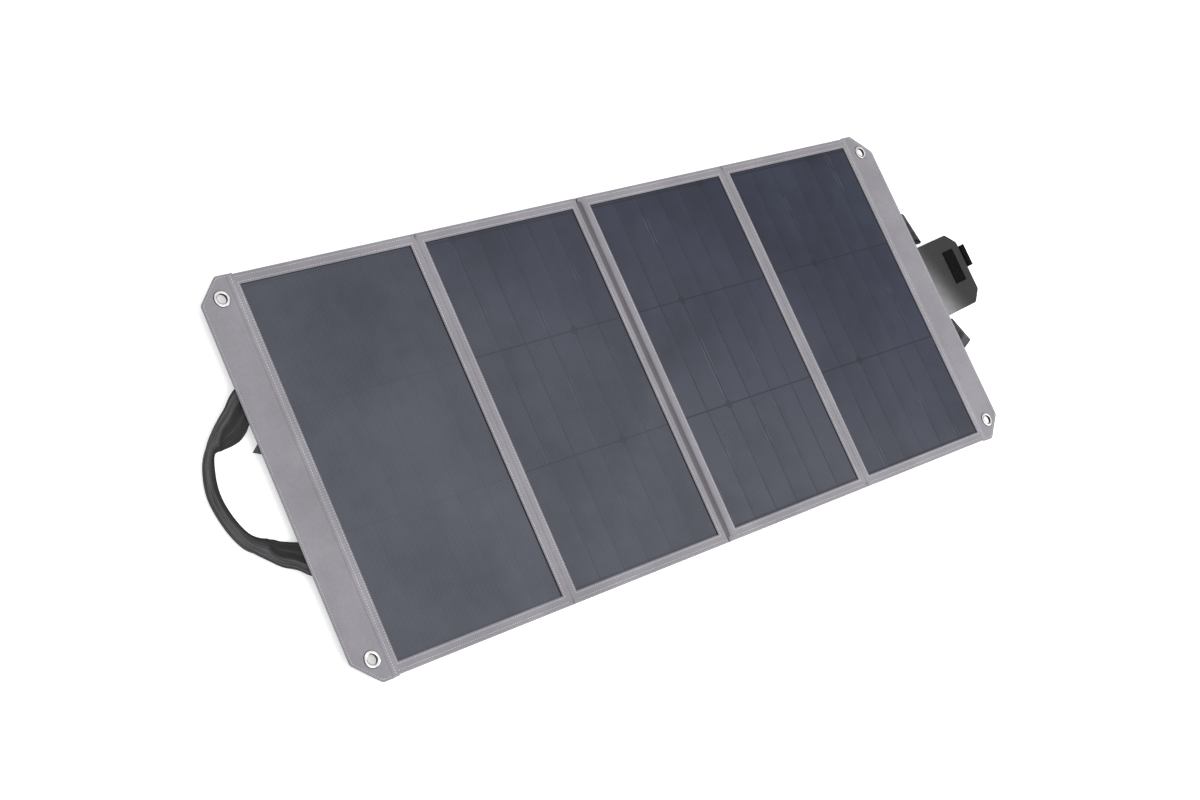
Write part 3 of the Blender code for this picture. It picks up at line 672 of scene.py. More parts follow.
def front_fabric(number):
    """One panel's woven front: a ring round its window, turned in at the film."""
    low_x, high_x = FACES[number - 1][0].x, FACES[number - 1][1].x
    near, far = WINDOWS_X[number - 1]
    lower, upper = border_marks(LOW_Y, HIGH_Y)
    lips = (0.0, 0.12, 0.35, 0.7, 1.1, 1.9, 2.3, 2.7, 3.1, 3.6)
    left = [near - step * MM for step in reversed(lips)]
    right = [far + step * MM for step in lips]
    xs = spaced([low_x, *left, *right, high_x], 9 * MM)
    below = [WINDOW_Y[0] - step * MM for step in reversed(lips)]
    above = [WINDOW_Y[1] + step * MM for step in lips]
    ys = spaced([*lower, *below, *above, *upper], 7 * MM)

    def top(x, y):
        dx = np.maximum(np.maximum(near - x, x - far), 0)
        dy = np.maximum(np.maximum(WINDOW_Y[0] - y, y - WINDOW_Y[1]), 0)
        away = np.hypot(dx, dy)
        turn = np.clip(1 - away / LIP, 0, 1)
        lip = (FRONT_Z - FILM_Z - 0.3 * MM) * (1 - np.sqrt(1 - turn**2))
        seam = 0.2 * MM * np.exp(-(((away - SEAM_D) / (0.5 * MM)) ** 2))
        along = np.where(dx > dy, y, x)
        pucker = 0.06 * MM * np.sin(along * 2 * math.pi / (6.8 * MM)) * np.clip(away / LIP, 0, 1)
        return FRONT_Z - lip - seam + border_height(y) + pucker

    def keep(x, y):
        inside_x = (x > near) & (x < far)
        return ~(inside_x & (y > WINDOW_Y[0]) & (y < WINDOW_Y[1]))

    name = f"front_fabric_{number}"
    piece = grid_body(name, xs, ys, top, rim_bottom(FILM_Z + 0.12 * MM), GREY, keep)
    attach(piece, f"panel_{number}")
    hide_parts(f"front_frame_{number}")
    return piece


def front_stitches(number):
    """The stitch line round the window and the two along the binding tape."""
    low_x, high_x = FACES[number - 1][0].x, FACES[number - 1][1].x
    near, far = WINDOWS_X[number - 1]
    z = FRONT_Z - 0.02 * MM
    x0, x1 = near - SEAM_D, far + SEAM_D
    y0, y1 = WINDOW_Y[0] - SEAM_D, WINDOW_Y[1] + SEAM_D
    runs = [
        ((x0, y0, z), (x1, y0, z)),
        ((x1, y0, z), (x1, y1, z)),
        ((x1, y1, z), (x0, y1, z)),
        ((x0, y1, z), (x0, y0, z)),
    ]
    for y in (LOW_Y + TAPE_SEAM, HIGH_Y - TAPE_SEAM):
        tape_z = FRONT_Z + 0.1 * MM
        runs.append(((low_x, y, tape_z), (high_x, y, tape_z)))
    return stitches(f"front_stitches_{number}", runs, f"panel_{number}", THREAD)


def groove_profile(fold, u, gap):
    """Height of a hinge strip under the panel faces, at u from -1 to 1 across the strip."""
    at_end = np.exp(-((gap / (6.5 * MM)) ** 2))
    if fold == "23":
        roll = 0.3 * MM * np.exp(-(((np.abs(u) - 0.66) / 0.16) ** 2))
        valley = -3.2 * MM * np.exp(-((np.abs(u + 0.04) / 0.46) ** 2.6))
        notch = -4.6 * MM * np.exp(-(((u + 0.25) / 0.13) ** 2)) * at_end
        return np.minimum(roll + valley * (1 - at_end), 0.3 * MM) + notch
    width = 0.16 if fold == "12" else 0.12
    ridge = 0.4 * MM * np.exp(-(((np.abs(u) - 0.5) / 0.22) ** 2))
    notch = -2.6 * MM * np.exp(-((u / 0.14) ** 2)) * at_end
    return ridge - 0.8 * MM * np.exp(-((u / width) ** 2)) * (1 - at_end) + notch


def hinge_strip(fold):
    """The woven strip over one fold, from panel to panel, bent across the joint."""
    left, right = int(fold[0]), int(fold[1])
    low_x, high_x = FACES[left - 1][1].x, FACES[right - 1][0].x
    axis = (low_x + high_x) / 2
    half = (high_x - low_x) / 2
    xs = np.linspace(low_x, high_x, 33)
    lower, upper = border_marks(LOW_Y, HIGH_Y)
    ys = spaced([*lower, WINDOW_Y[0], WINDOW_Y[1], *upper], 6 * MM)

    def top(x, y):
        u = (x - axis) / half
        wave = 1 + 0.08 * np.sin(y * 31.0) + 0.05 * np.sin(y * 83.0 + 1.3)
        return FRONT_Z + groove_profile(fold, u, edge_gap(y)) * wave + border_height(y)

    def bottom(x, y):
        under = top(x, y) - 0.9 * MM - np.maximum(border_height(y), -0.3 * MM)
        return np.where(edge_gap(y) < RIM, BACK_Z + 0.2 * MM, np.maximum(under, BACK_Z + 0.1 * MM))

    piece = grid_body(f"hinge_fabric_{fold}", xs, ys, top, bottom, HINGE)
    parent, child = FOLDS[fold]
    reach = half * (0.42 if fold == "23" else 1.0)
    ends = [(axis - reach, MID_Y, FRONT_Z), (axis + reach, MID_Y, FRONT_Z)]
    first, second = (parent, child) if parent == f"panel_{left}" else (child, parent)
    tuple(ends[0])
    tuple(ends[1])
    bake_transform(piece)
    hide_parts(f"hinge_{fold}_left", f"hinge_{fold}_right")
    return first, second, ends


def hinge_back(fold, first, second, ends):
    """The dark back fabric over the same fold."""
    low_x, high_x = FACES[int(fold[0]) - 1][1].x, FACES[int(fold[1]) - 1][0].x
    lap = 6 * MM
    axis, half = (low_x + high_x) / 2, (high_x - low_x) / 2
    xs = spaced([low_x - lap, low_x, high_x, high_x + lap], 0.8 * MM)
    ys = spaced([LOW_Y, HIGH_Y], 8 * MM)
    thick = 0.7 * MM

    def bottom(x, y):
        u = np.clip(np.abs(x - axis) / half, 0, 1)
        edge = np.clip((np.abs(x - axis) - half) / lap, 0, 1)
        return BACK_Z - thick + 0.35 * MM * np.cos(u * math.pi / 2) + 0.3 * MM * edge**4

    def top(x, y):
        return np.full_like(x, BACK_Z - 0.05 * MM)

    piece = grid_body(f"hinge_back_{fold}", xs, ys, top, bottom, BACK)
    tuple(ends[0])
    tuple(ends[1])
    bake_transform(piece)


# ---------------------------------------------------------------- end flaps

CHAMFER = 32.0 * MM
CORNER_R = 7.0 * MM
BAND = 13.5 * MM  # sewn seam band beside the window
EYELETS = {
    "left": ["left_eyelet_low", "left_eyelet_high"],
    "right": ["right_eyelet_low", "right_eyelet_high"],
}


def flap_corners(side):
    (low, high), edge = (LEFT_FLAP, LEFT_EDGE) if side == "left" else (RIGHT_FLAP, RIGHT_EDGE)
    y0, y1 = low.y, high.y
    if side == "left":
        seam = high.x - 0.5 * MM
        return [
            (seam, y0), (seam, y1), (edge + CHAMFER, y1),
            (edge, y1 - CHAMFER), (edge, y0 + CHAMFER), (edge + CHAMFER, y0),
        ]
    seam = low.x + 0.5 * MM
    return [
        (seam, y1), (seam, y0), (edge - CHAMFER, y0),
        (edge, y0 + CHAMFER), (edge, y1 - CHAMFER), (edge - CHAMFER, y1),
    ]


def eyelet_centres(side):
    centres = []
    for node in EYELETS[side]:
        low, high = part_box(node)
        centres.append(((low.x + high.x) / 2, (low.y + high.y) / 2, FLAP_TOP))
    return centres


def end_flap(side, body):
    """A stiffened two-layer flap with its rolled, stitched edge and its eyelet holes."""
    outline = rounded(flap_corners(side), CORNER_R)
    if sum(a.x * b.y - b.x * a.y for a, b in zip(outline, outline[1:] + outline[:1])) < 0:
        outline.reverse()
    rings = cloth_rings(FLAP_BACK, FLAP_TOP)
    piece = pad(f"{side}_flap_fabric", outline, rings, FLAP)
    pierced(piece, eyelet_centres(side), 7.0 * MM, 12 * MM)
    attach(piece, body)
    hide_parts(f"{side}_flap")
    return outline


def seam_band(side, body):
    """The raised seam where the flap meets its panel: a slope, a ridge and a stitch line."""
    if side == "left":
        near, edge, outward = WINDOWS_X[0][0], FACES[0][0].x, -1
    else:
        near, edge, outward = WINDOWS_X[3][1], FACES[3][1].x, 1
    far = near + outward * BAND
    xs = np.sort(spaced(sorted((edge, far)), 0.55 * MM))
    low_y, high_y = LEFT_FLAP[0].y + 0.4 * MM, LEFT_FLAP[1].y - 0.4 * MM
    ys = spaced([low_y, low_y + 1 * MM, low_y + 3 * MM, high_y - 3 * MM, high_y - 1 * MM, high_y], 6 * MM)

    def top(x, y):
        out = np.abs(x - near)
        slope = np.clip((out - 5 * MM) / (BAND - 5 * MM), 0, 1)
        fall = (FRONT_Z - FLAP_TOP - 0.55 * MM) * slope**1.5
        ridge = 0.4 * MM * np.exp(-(((out - 10.8 * MM) / (1.1 * MM)) ** 2))
        groove = 0.55 * MM * np.exp(-(((out - 8.2 * MM) / (0.9 * MM)) ** 2))
        last = np.clip((out - (BAND - 0.9 * MM)) / (0.9 * MM), 0, 1)
        wave = 0.12 * MM * np.sin(y * 140.0) * np.exp(-(((out - 9.5 * MM) / (2.5 * MM)) ** 2))
        gap = np.minimum(y - low_y, high_y - y)
        ends = 1.2 * MM * np.clip(1 - gap / (1.6 * MM), 0, 1) ** 2
        return FRONT_Z - fall + ridge - groove - 0.5 * MM * last**2 - ends + wave

    def bottom(x, y):
        return np.minimum(top(x, y) - 0.4 * MM, FLAP_TOP - 0.05 * MM)

    piece = grid_body(f"{side}_seam_band", xs, ys, top, bottom, BINDING)
    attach(piece, body)
    z = FRONT_Z - (FRONT_Z - FLAP_TOP) * 0.45
    x = near + outward * 8.4 * MM
    return [((x, low_y + 3 * MM, z), (x, high_y - 3 * MM, z))]


def eyelet(side, node, body):
    """A pressed eyelet with a rolled flange at the front and a curled barrel behind."""
    low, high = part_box(node)
    centre = ((low.x + high.x) / 2, (low.y + high.y) / 2)
    outer, inner = (high.x - low.x) / 2, 6.25 * MM
    face, tail = FLAP_TOP + 0.05 * MM, low.z
    crest = high.z
    profile = [(inner, face - 1.0 * MM), (inner, tail + 0.9 * MM)]
    for step in range(7):
        angle = math.pi * step / 6
        profile.append((inner + 1.1 * MM * (1 - math.cos(angle)), tail + 0.9 * MM - 0.9 * MM * math.sin(angle)))
    profile += [(outer - 1.2 * MM, tail + 0.6 * MM), (outer - 0.8 * MM, FLAP_BACK - 0.1 * MM)]
    profile += [(7.0 * MM, FLAP_BACK - 0.1 * MM), (7.0 * MM, face), (outer, face)]
    for step in range(1, 10):
        angle = math.pi * step / 10
        half = (outer - inner) / 2
        across = outer - half * (1 - math.cos(angle))
        profile.append((across, face + (crest - face) * math.sin(angle) ** 0.75))
    piece = lathe(f"{node}_ring", profile, centre, NICKEL)
    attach(piece, body)
    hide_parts(node)


# ---------------------------------------------------------------- webbing

STRAP_W = 38.0 * MM
STRAP_T = 1.7 * MM


def smooth(share):
    share = np.clip(share, 0.0, 1.0)
    return share * share * (3 - 2 * share)


def cloth(name, points, thickness, material, widths=None):
    """A closed body of even thickness about a grid of points, with a `strap` UV map."""
    along = np.gradient(points, axis=0)
    across = np.gradient(points, axis=1)
    normal = np.cross(along, across)
    normal /= np.maximum(np.linalg.norm(normal, axis=2, keepdims=True), 1e-12)
    upper, lower = points + normal * thickness / 2, points - normal * thickness / 2
    steps = np.linalg.norm(np.diff(points, axis=0), axis=2).mean(axis=1)
    run = np.concatenate([[0.0], np.cumsum(steps)])
    count, size = points.shape[:2]
    if widths is None:
        gaps = np.linalg.norm(np.diff(points, axis=1), axis=2).mean(axis=0)
        widths = np.concatenate([[0.0], np.cumsum(gaps)])
    mesh = bmesh.new()
    uv_layer = mesh.loops.layers.uv.new("strap")
    place = {}
    rows = []
    for i in range(count):
        row = []
        for side, k in [(upper, k) for k in range(size)] + [(lower, k) for k in reversed(range(size))]:
            vertex = mesh.verts.new(side[i, k])
            place[vertex] = (run[i], widths[k])
            row.append(vertex)
        rows.append(row)
    ring = len(rows[0])
    for here, there in zip(rows, rows[1:]):
        for k in range(ring):
            following = (k + 1) % ring
            mesh.faces.new((here[k], here[following], there[following], there[k]))
    for row in (rows[0], rows[-1]):
        for k in range(size - 1):
            mesh.faces.new((row[k], row[k + 1], row[ring - 2 - k], row[ring - 1 - k]))
    for face in mesh.faces:
        for loop in face.loops:
            loop[uv_layer].uv = place[loop.vert]
    return new_piece(name, mesh, material)


def spline(rows, share):
    """Catmull-Rom through rows of numbers; share runs from 0 to 1 over all of them."""
    rows = np.asarray(rows, float)
    at = share * (len(rows) - 1)
    k = min(int(at), len(rows) - 2)
    t = at - k
    a, b, c, d = (rows[min(max(k + shift, 0), len(rows) - 1)] for shift in (-1, 0, 1, 2))
    return 0.5 * (2 * b + (c - a) * t + (2 * a - 5 * b + 4 * c - d) * t**2 + (3 * b - a - 3 * c + d) * t**3)


def strap_between(name, stations, samples, material=None):
    """Webbing between an outer and an inner edge line.

    Each station is (outer x, y, z, inner x, y, z, fold) in millimetres from the flap's
    edge and the blanket's middle; fold 0 is flat, 1 is doubled under along the inner edge.
    """
    size = 33
    half = STRAP_W / 2 / MM
    crease = 1.25
    s = np.linspace(-half, half, size)
    grid = np.zeros((samples, size, 3))
    for i in range(samples):
        values = spline(stations, i / (samples - 1))
        outer, inner, fold = values[:3], values[3:6], float(np.clip(values[6], 0, 1))
        weight = smooth(fold)
        flat = (s + half) / (2 * half)
        layer = 1 - np.abs(s) / half
        reach = (flat * (1 - weight) + layer * weight) / max(1 - weight, 0.5 + 0.5 * weight)
        grid[i] = outer + (inner - outer) * reach[:, None]
        turn = np.clip(s / (crease * 1.6), -1, 1) * math.pi / 2
        grid[i, :, 2] -= weight * crease * np.sin(turn)
        grid[i, :, 2] -= 3.0 * math.sin(math.pi * weight) * np.clip(s / half, 0, 1)
    return grid


def place_strap(name, grid, edge):
    """The strap body from its millimetre grid, set at a flap's outer edge."""
    points = grid * MM + np.array((edge, MID_Y, 0.0))
    widths = np.linspace(0.0, STRAP_W, grid.shape[1])
    return cloth(name, points, STRAP_T, STRAP, widths)


def handle_left():
    """The left loop as it lies: flat and turned at both ends, doubled along the grip."""
    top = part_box("handle_anchor_left_low")[1].z / MM - STRAP_T / MM / 2 - 0.1
    stations = [
        (36, 117, top, 36, 79, top, 0),
        (20, 118, top, 20, 79, top, 0),
        (4, 122, top, 4, 77, top, 0),
        (-8, 115, top - 0.5, -5, 68, top - 2.5, 0),
        (-20, 103, top - 0.5, -15, 61, top - 6.0, 0),
        (-31, 94, top - 1.0, -27, 58, top - 8.5, 0.05),
        (-43, 83, top - 3.0, -40, 57, top - 8.5, 0.35),
        (-57, 68, top - 4.5, -51, 55, top - 6.0, 0.8),
        (-71, 46, 8.0, -58, 43, 9.5, 1),
        (-79, 19, 7.0, -64, 20, 9.0, 1),
        (-80, -4, 7.0, -65, -1, 9.0, 1),
        (-74, -34, 7.0, -60, -25, 9.0, 1),
        (-64, -57, 7.0, -51, -45, 9.0, 1),
        (-52, -71, 7.5, -40, -55, 9.5, 0.8),
        (-39, -83, 8.0, -25, -60, 8.0, 0.25),
        (-26, -95, 9.0, -16, -65, 6.5, 0),
        (-11, -104, 11.0, -7, -69, 8.0, 0),
        (3, -117, top, 3, -74, top - 0.5, 0),
        (20, -118, top, 20, -79, top, 0),
        (36, -117, top, 36, -79, top, 0),
    ]
    piece = place_strap("handle_left_webbing", strap_between("left", stations, 150), LEFT_EDGE)
    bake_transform(piece)
    nodes = ("handle_left", "handle_anchor_left_low", "handle_anchor_left_high")
    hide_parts(*nodes)


def handle_right():
    """The right loop, turned back under its flap: out past the edge, round and in again."""
    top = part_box("handle_anchor_right_low")[1].z / MM - STRAP_T / MM / 2 - 0.1
    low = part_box("handle_right")[0].z / MM + 2.0
    middle = (top + low) / 2
    stations = [
        (-34, 117, top, -34, 79, top, 0),
        (-18, 117, top, -18, 79, top, 0),
        (-3, 118, top, -3, 74, top, 0),
        (5, 118, top - 0.2, 12, 72, top - 0.3, 0),
        (11, 113, middle, 20, 66, middle, 0),
        (5, 112, low + 0.2, 12, 66, low + 0.2, 0),
        (-8, 112, low, -6, 68, low, 0),
        (-22, 103, low, -20, 62, low, 0),
        (-40, 84, low, -30, 50, low, 0.2),
        (-54, 60, low + 1, -40, 42, low + 2, 1),
        (-62, 28, low + 1, -46, 24, low + 2, 1),
        (-64, 0, low + 1, -48, 0, low + 2, 1),
        (-62, -28, low + 1, -46, -24, low + 2, 1),
        (-54, -60, low + 1, -40, -42, low + 2, 1),
        (-40, -84, low, -30, -50, low, 0.2),
        (-22, -100, low, -20, -60, low, 0),
        (-6, -104, low, -6, -62, low, 0),
        (14, -103, low + 0.2, 6, -63, low + 0.2, 0),
        (27, -104, middle, 9, -64, middle, 0),
        (14, -110, top - 0.3, 4, -66, top - 0.2, 0),
        (-3, -116, top, -3, -74, top, 0),
        (-18, -117, top, -18, -79, top, 0),
        (-34, -117, top, -34, -79, top, 0),
    ]
    piece = place_strap("handle_right_webbing", strap_between("right", stations, 150), RIGHT_EDGE)
    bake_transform(piece)
    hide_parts("handle_right", "handle_anchor_right_low", "handle_anchor_right_high")


def flat_strap(name, x, y, z, body, node, along_y=True):
    """A short run of flat webbing filling a box, riding on a body."""
    if along_y:
        rows, columns = np.linspace(*y, 25), np.linspace(*x, 13)
        grid = np.array([[(across, run, sum(z) / 2) for across in columns] for run in rows])
    else:
        rows, columns = np.linspace(*x, 25), np.linspace(*y, 13)
        grid = np.array([[(run, across, sum(z) / 2) for across in columns] for run in rows])
    piece = cloth(name, grid, z[1] - z[0], STRAP)
    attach(piece, body)
    if node:
        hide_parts(node)
    return piece


# ---------------------------------------------------------------- closing tab

def anticlockwise(outline):
    area = sum(a.x * b.y - b.x * a.y for a, b in zip(outline, outline[1:] + outline[:1]))
    return outline if area > 0 else outline[::-1]


def bend_tab(piece):
    """Skew and curl a piece of the tab a little, as worn cloth sits."""
    mesh = bmesh.new()
    mesh.from_mesh(piece.data)
    slices = [-6, -3, -1, 0, 1, 2, 3, 5, *range(10, 100, 6)]
    for out in slices:
        geometry = mesh.verts[:] + mesh.edges[:] + mesh.faces[:]
        place = (RIGHT_EDGE + out * MM, 0.0, 0.0)
        bmesh.ops.bisect_plane(mesh, geom=geometry, plane_co=place, plane_no=(1.0, 0.0, 0.0))
    for vertex in mesh.verts:
        out = max(0.0, vertex.co.x - RIGHT_EDGE)
        vertex.co.y += 0.10 * out
        vertex.co.z += 2.5 * MM * (out / (92 * MM)) ** 1.5
    mesh.to_mesh(piece.data)
    mesh.free()


def closing_tab():
    """The stiff dark tab, its bound edge, hook patch and folded pull."""
    low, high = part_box("closing_tab")
    chamfer = 18.0 * MM
    root = RIGHT_EDGE - 18 * MM
    corners = [
        (root, low.y), (high.x - chamfer, low.y), (high.x, low.y + chamfer),
        (high.x, high.y - chamfer), (high.x - chamfer, high.y), (root, high.y),
    ]
    outline = anticlockwise(rounded(corners, 6.5 * MM))
    material = tab_fabric("tab_fabric", RIGHT_EDGE, high.x)
    piece = pad("closing_tab_fabric", outline, cloth_rings(low.z, high.z), material)
    bend_tab(piece)
    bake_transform(piece)
    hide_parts("closing_tab")
    patch_low, patch_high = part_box("tab_patch")
    corners = [
        (patch_low.x, patch_low.y), (patch_high.x, patch_low.y),
        (patch_high.x, patch_high.y), (patch_low.x, patch_high.y),
    ]
    outline = anticlockwise(rounded(corners, 1.5 * MM))
    rings = [
        (1.0 * MM, high.z - 0.1 * MM), (0.0, high.z + 0.2 * MM), (0.1 * MM, patch_high.z - 0.4 * MM),
        (0.7 * MM, patch_high.z), (1.6 * MM, patch_high.z + 0.05 * MM),
    ]
    patch = pad("tab_hook_patch", outline, rings, HOOK)
    bend_tab(patch)
    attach(patch, "closing_tab")
    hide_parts("tab_patch")
    pull_low, pull_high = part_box("tab_pull")
    pull(pull_low, pull_high)


def pull(low, high):
    """A doubled tape sewn under the tab's end, bent round into a short grip."""
    samples = 26
    inner_x = low.x - 10 * MM
    tip_x = high.x
    radius = 1.5 * MM
    base = low.z - 0.2 * MM
    ys = (low.y, high.y)
    mesh = bmesh.new()
    thick = 0.9 * MM
    line = []
    for k in range(10):
        line.append((inner_x + (tip_x - radius - inner_x) * k / 9, base + 0.4 * MM))
    for k in range(1, samples - 17):
        angle = math.pi * k / (samples - 17)
        line.append((tip_x - radius + radius * math.sin(angle), base + 0.4 * MM + radius * (1 - math.cos(angle))))
    for k in range(10):
        line.append((tip_x - radius - (tip_x - radius - low.x - 0.5 * MM) * k / 9, base + 0.4 * MM + 2 * radius))
    loops = []
    for y in np.linspace(ys[0], ys[1], 9):
        outer, inner = [], []
        for k, (x, z) in enumerate(line):
            before, after = line[max(0, k - 1)], line[min(len(line) - 1, k + 1)]
            tangent = Vector((after[0] - before[0], after[1] - before[1])).normalized()
            normal = Vector((tangent.y, -tangent.x)) * thick / 2
            outer.append(mesh.verts.new((x + normal.x, y, z + normal.y)))
            inner.append(mesh.verts.new((x - normal.x, y, z - normal.y)))
        loops.append(outer + inner[::-1])
    size = len(loops[0])
    for here, there in zip(loops, loops[1:]):
        for k in range(size):
            following = (k + 1) % size
            mesh.faces.new((here[k], here[following], there[following], there[k]))
    mesh.faces.new(list(reversed(loops[0])))
    mesh.faces.new(loops[-1])
    piece = new_piece("tab_pull_tape", mesh, HOOK)
    bend_tab(piece)
    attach(piece, "closing_tab")
    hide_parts("tab_pull")


# ---------------------------------------------------------------- the back

def box_pad(name, node, body, material, radius, rings=None, lift=0.0):
    """A sewn pad that fills a CAD node's box, with rounded corners."""
    low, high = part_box(node)
    corners = [(low.x, low.y), (high.x, low.y), (high.x, high.y), (low.x, high.y)]
    outline = anticlockwise(rounded(corners, radius))
    piece = pad(name, outline, rings or cloth_rings(low.z + lift, high.z), material)
    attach(piece, body)
    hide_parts(node)
    return outline, low, high


def back_rings(low, high, stitch=4.0 * MM):
    """Rings for a padded piece seen from behind: its dimple is on the lower face."""
    middle = (low + high) / 2
    return [
        (stitch + 3.0 * MM, low),
        (stitch + 1.2 * MM, low + 0.02 * MM),
        (stitch, low + 0.35 * MM),
        (stitch - 1.2 * MM, low + 0.05 * MM),
        (1.2 * MM, low + 0.1 * MM),
        (0.3 * MM, low + (middle - low) * 0.4),
        (0.0, middle),
        (0.3 * MM, high - (high - middle) * 0.4),
        (1.2 * MM, high),
        (stitch, high),
    ]


def leg(number):
    """A covered board leg with its stitched edge, hinge fabric and tether, laid as a flat strap."""
    body, panel = f"leg_{number}", f"panel_{number}"
    low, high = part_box(f"leg_{number}")
    rings = back_rings(low.z, high.z)
    outline, low, high = box_pad(f"leg_cover_{number}", f"leg_{number}", body, DARK, 9 * MM, rings)
    runs = closed_runs(inset(outline, 4.0 * MM), low.z + 0.3 * MM)
    stitches(f"leg_stitches_{number}", runs, body, DARK_THREAD, radius=0.35 * MM)
    hinge_low, hinge_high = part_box(f"leg_hinge_{number}")
    xs = spaced([hinge_low.x, hinge_high.x], 8 * MM)
    start_y, end_y = high.y - 14 * MM, hinge_high.y
    crease_y = hinge_low.y
    ys = spaced([start_y, start_y + 4 * MM, high.y - 1 * MM, crease_y + 3 * MM, end_y - 3 * MM, end_y], 1.5 * MM)
    leg_z, panel_z = low.z - 0.35 * MM, hinge_low.z

    def bottom(x, y):
        share = np.clip((y - (high.y - 2 * MM)) / (crease_y + 4 * MM - high.y), 0, 1)
        share = share * share * (3 - 2 * share)
        return leg_z + (panel_z - leg_z) * share

    def top(x, y):
        return bottom(x, y) + 0.7 * MM

    piece = grid_body(f"leg_hinge_fabric_{number}", xs, ys, top, bottom, DARK)
    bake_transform(piece)
    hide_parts(f"leg_hinge_{number}")
    x0, x1 = hinge_low.x + 4 * MM, hinge_high.x - 4 * MM
    rows = [((x0, y, panel_z - 0.1 * MM), (x1, y, panel_z - 0.1 * MM)) for y in (end_y - 3 * MM, end_y - 8 * MM)]
    stitches(f"leg_hinge_stitches_{number}", rows, panel, DARK_THREAD, radius=0.35 * MM)
    strap_low, strap_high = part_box(f"tether_{number}")
    spans = [(strap_low[k], strap_high[k]) for k in range(3)]
    flat_strap(f"tether_webbing_{number}", *spans, body, f"tether_{number}")
    grip_y = (low.y - 16 * MM, low.y + 5 * MM)
    grip_x = ((low.x + high.x) / 2 - 10 * MM, (low.x + high.x) / 2 + 10 * MM)
    flat_strap(f"leg_pull_{number}", grip_x, grip_y, (low.z + 1.2 * MM, low.z + 2.9 * MM), body, None)


def pocket():
    """The output box's pocket: a gusseted pouch with a bound mouth; pocket_flap makes its covering flap."""
    low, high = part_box("pocket")
    corners = [(low.x, low.y), (high.x, low.y), (high.x, high.y), (low.x, high.y)]
    outline = anticlockwise(rounded(corners, 12 * MM))
    mesh = bmesh.new()
    wall = 1.4 * MM
    loops = []
    shell = [
        (0.0, high.z), (0.1 * MM, high.z - 3 * MM), (0.0, low.z + 4 * MM), (0.8 * MM, low.z + 1.6 * MM),
        (3.0 * MM, low.z + 0.4 * MM), (5.0 * MM, low.z + 0.5 * MM), (6.5 * MM, low.z + 0.1 * MM), (8 * MM, low.z), (9 * MM, low.z),
    ]
    inside = [(distance + wall, z + wall) for distance, z in reversed(shell[1:])] + [(wall, high.z)]
    for distance, z in shell:
        loops.append([mesh.verts.new((p.x, p.y, z)) for p in inset(outline, distance)])
    cap = loops[-1]
    mesh.faces.new(cap)
    inner_loops = []
    for distance, z in inside:
        inner_loops.append([mesh.verts.new((p.x, p.y, z)) for p in inset(outline, distance)])
    mesh.faces.new(list(reversed(inner_loops[0])))
    count = len(outline)
    for group in (loops, inner_loops):
        for here, there in zip(group, group[1:]):
            for k in range(count):
                following = (k + 1) % count
                mesh.faces.new((here[k], here[following], there[following], there[k]))
    for k in range(count):
        following = (k + 1) % count
        mesh.faces.new((inner_loops[-1][k], inner_loops[-1][following], loops[0][following], loops[0][k]))
    piece = new_piece("pocket_pouch", mesh, BACK)
    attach(piece, "panel_4")
    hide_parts("pocket")
    runs = closed_runs(inset(outline, 5.0 * MM), low.z + 0.35 * MM)
    stitches("pocket_stitches", runs, "panel_4", DARK_THREAD, radius=0.35 * MM)


def pocket_flap():
    """The flap over the pocket's mouth, creased down from the panel's back."""
    low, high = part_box("pocket_flap")
    thick = 1.1 * MM
    pivot_y = high.y + 0.8 * MM
    radius = 5.0 * MM
    sewn = 14 * MM
    line = [(pivot_y + sewn - sewn * k / 4, BACK_Z - 0.7 * MM) for k in range(5)]
    line += [(pivot_y - 1.5 * MM, BACK_Z - 1.6 * MM), (high.y - 0.6 * MM, BACK_Z - 4 * MM)]
    line += [(high.y - 0.6 * MM, low.z + radius)]
    for k in range(1, 7):
        angle = math.pi / 2 * k / 6
        line.append((high.y - 0.6 * MM - radius * (1 - math.cos(angle)), low.z + 0.6 * MM + (radius - 0.6 * MM) * (1 - math.sin(angle))))
    tip = low.y
    for k in range(1, 13):
        line.append((high.y - 0.6 * MM - radius + (tip - high.y + 0.6 * MM + radius) * k / 12, low.z + 0.6 * MM))
    mesh = bmesh.new()
    loops = []
    width = high.x - low.x
    columns = 25
    for column in range(columns):
        share = column / (columns - 1)
        outer, inner = [], []
        for k, (y, z) in enumerate(line):
            before, after = line[max(0, k - 1)], line[min(len(line) - 1, k + 1)]
            tangent = Vector((after[0] - before[0], after[1] - before[1])).normalized()
            normal = Vector((-tangent.y, tangent.x)) * thick / 2
            cut = 12 * MM
            inward = max(0.0, (low.y + cut - y)) if y < low.y + cut else 0.0
            x = low.x + inward + (width - 2 * inward) * share
            outer.append(mesh.verts.new((x, y + normal.x, z + normal.y)))
            inner.append(mesh.verts.new((x, y - normal.x, z - normal.y)))
        loops.append(outer + inner[::-1])
    size = len(loops[0])
    for here, there in zip(loops, loops[1:]):
        for k in range(size):
            following = (k + 1) % size
            mesh.faces.new((here[k], here[following], there[following], there[k]))
    mesh.faces.new(list(reversed(loops[0])))
    mesh.faces.new(loops[-1])
    piece = new_piece("pocket_flap_fabric", mesh, DARK)
    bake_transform(piece)
    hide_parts("pocket_flap")
    length = sum(math.dist(a, b) for a, b in zip(line, line[1:]))


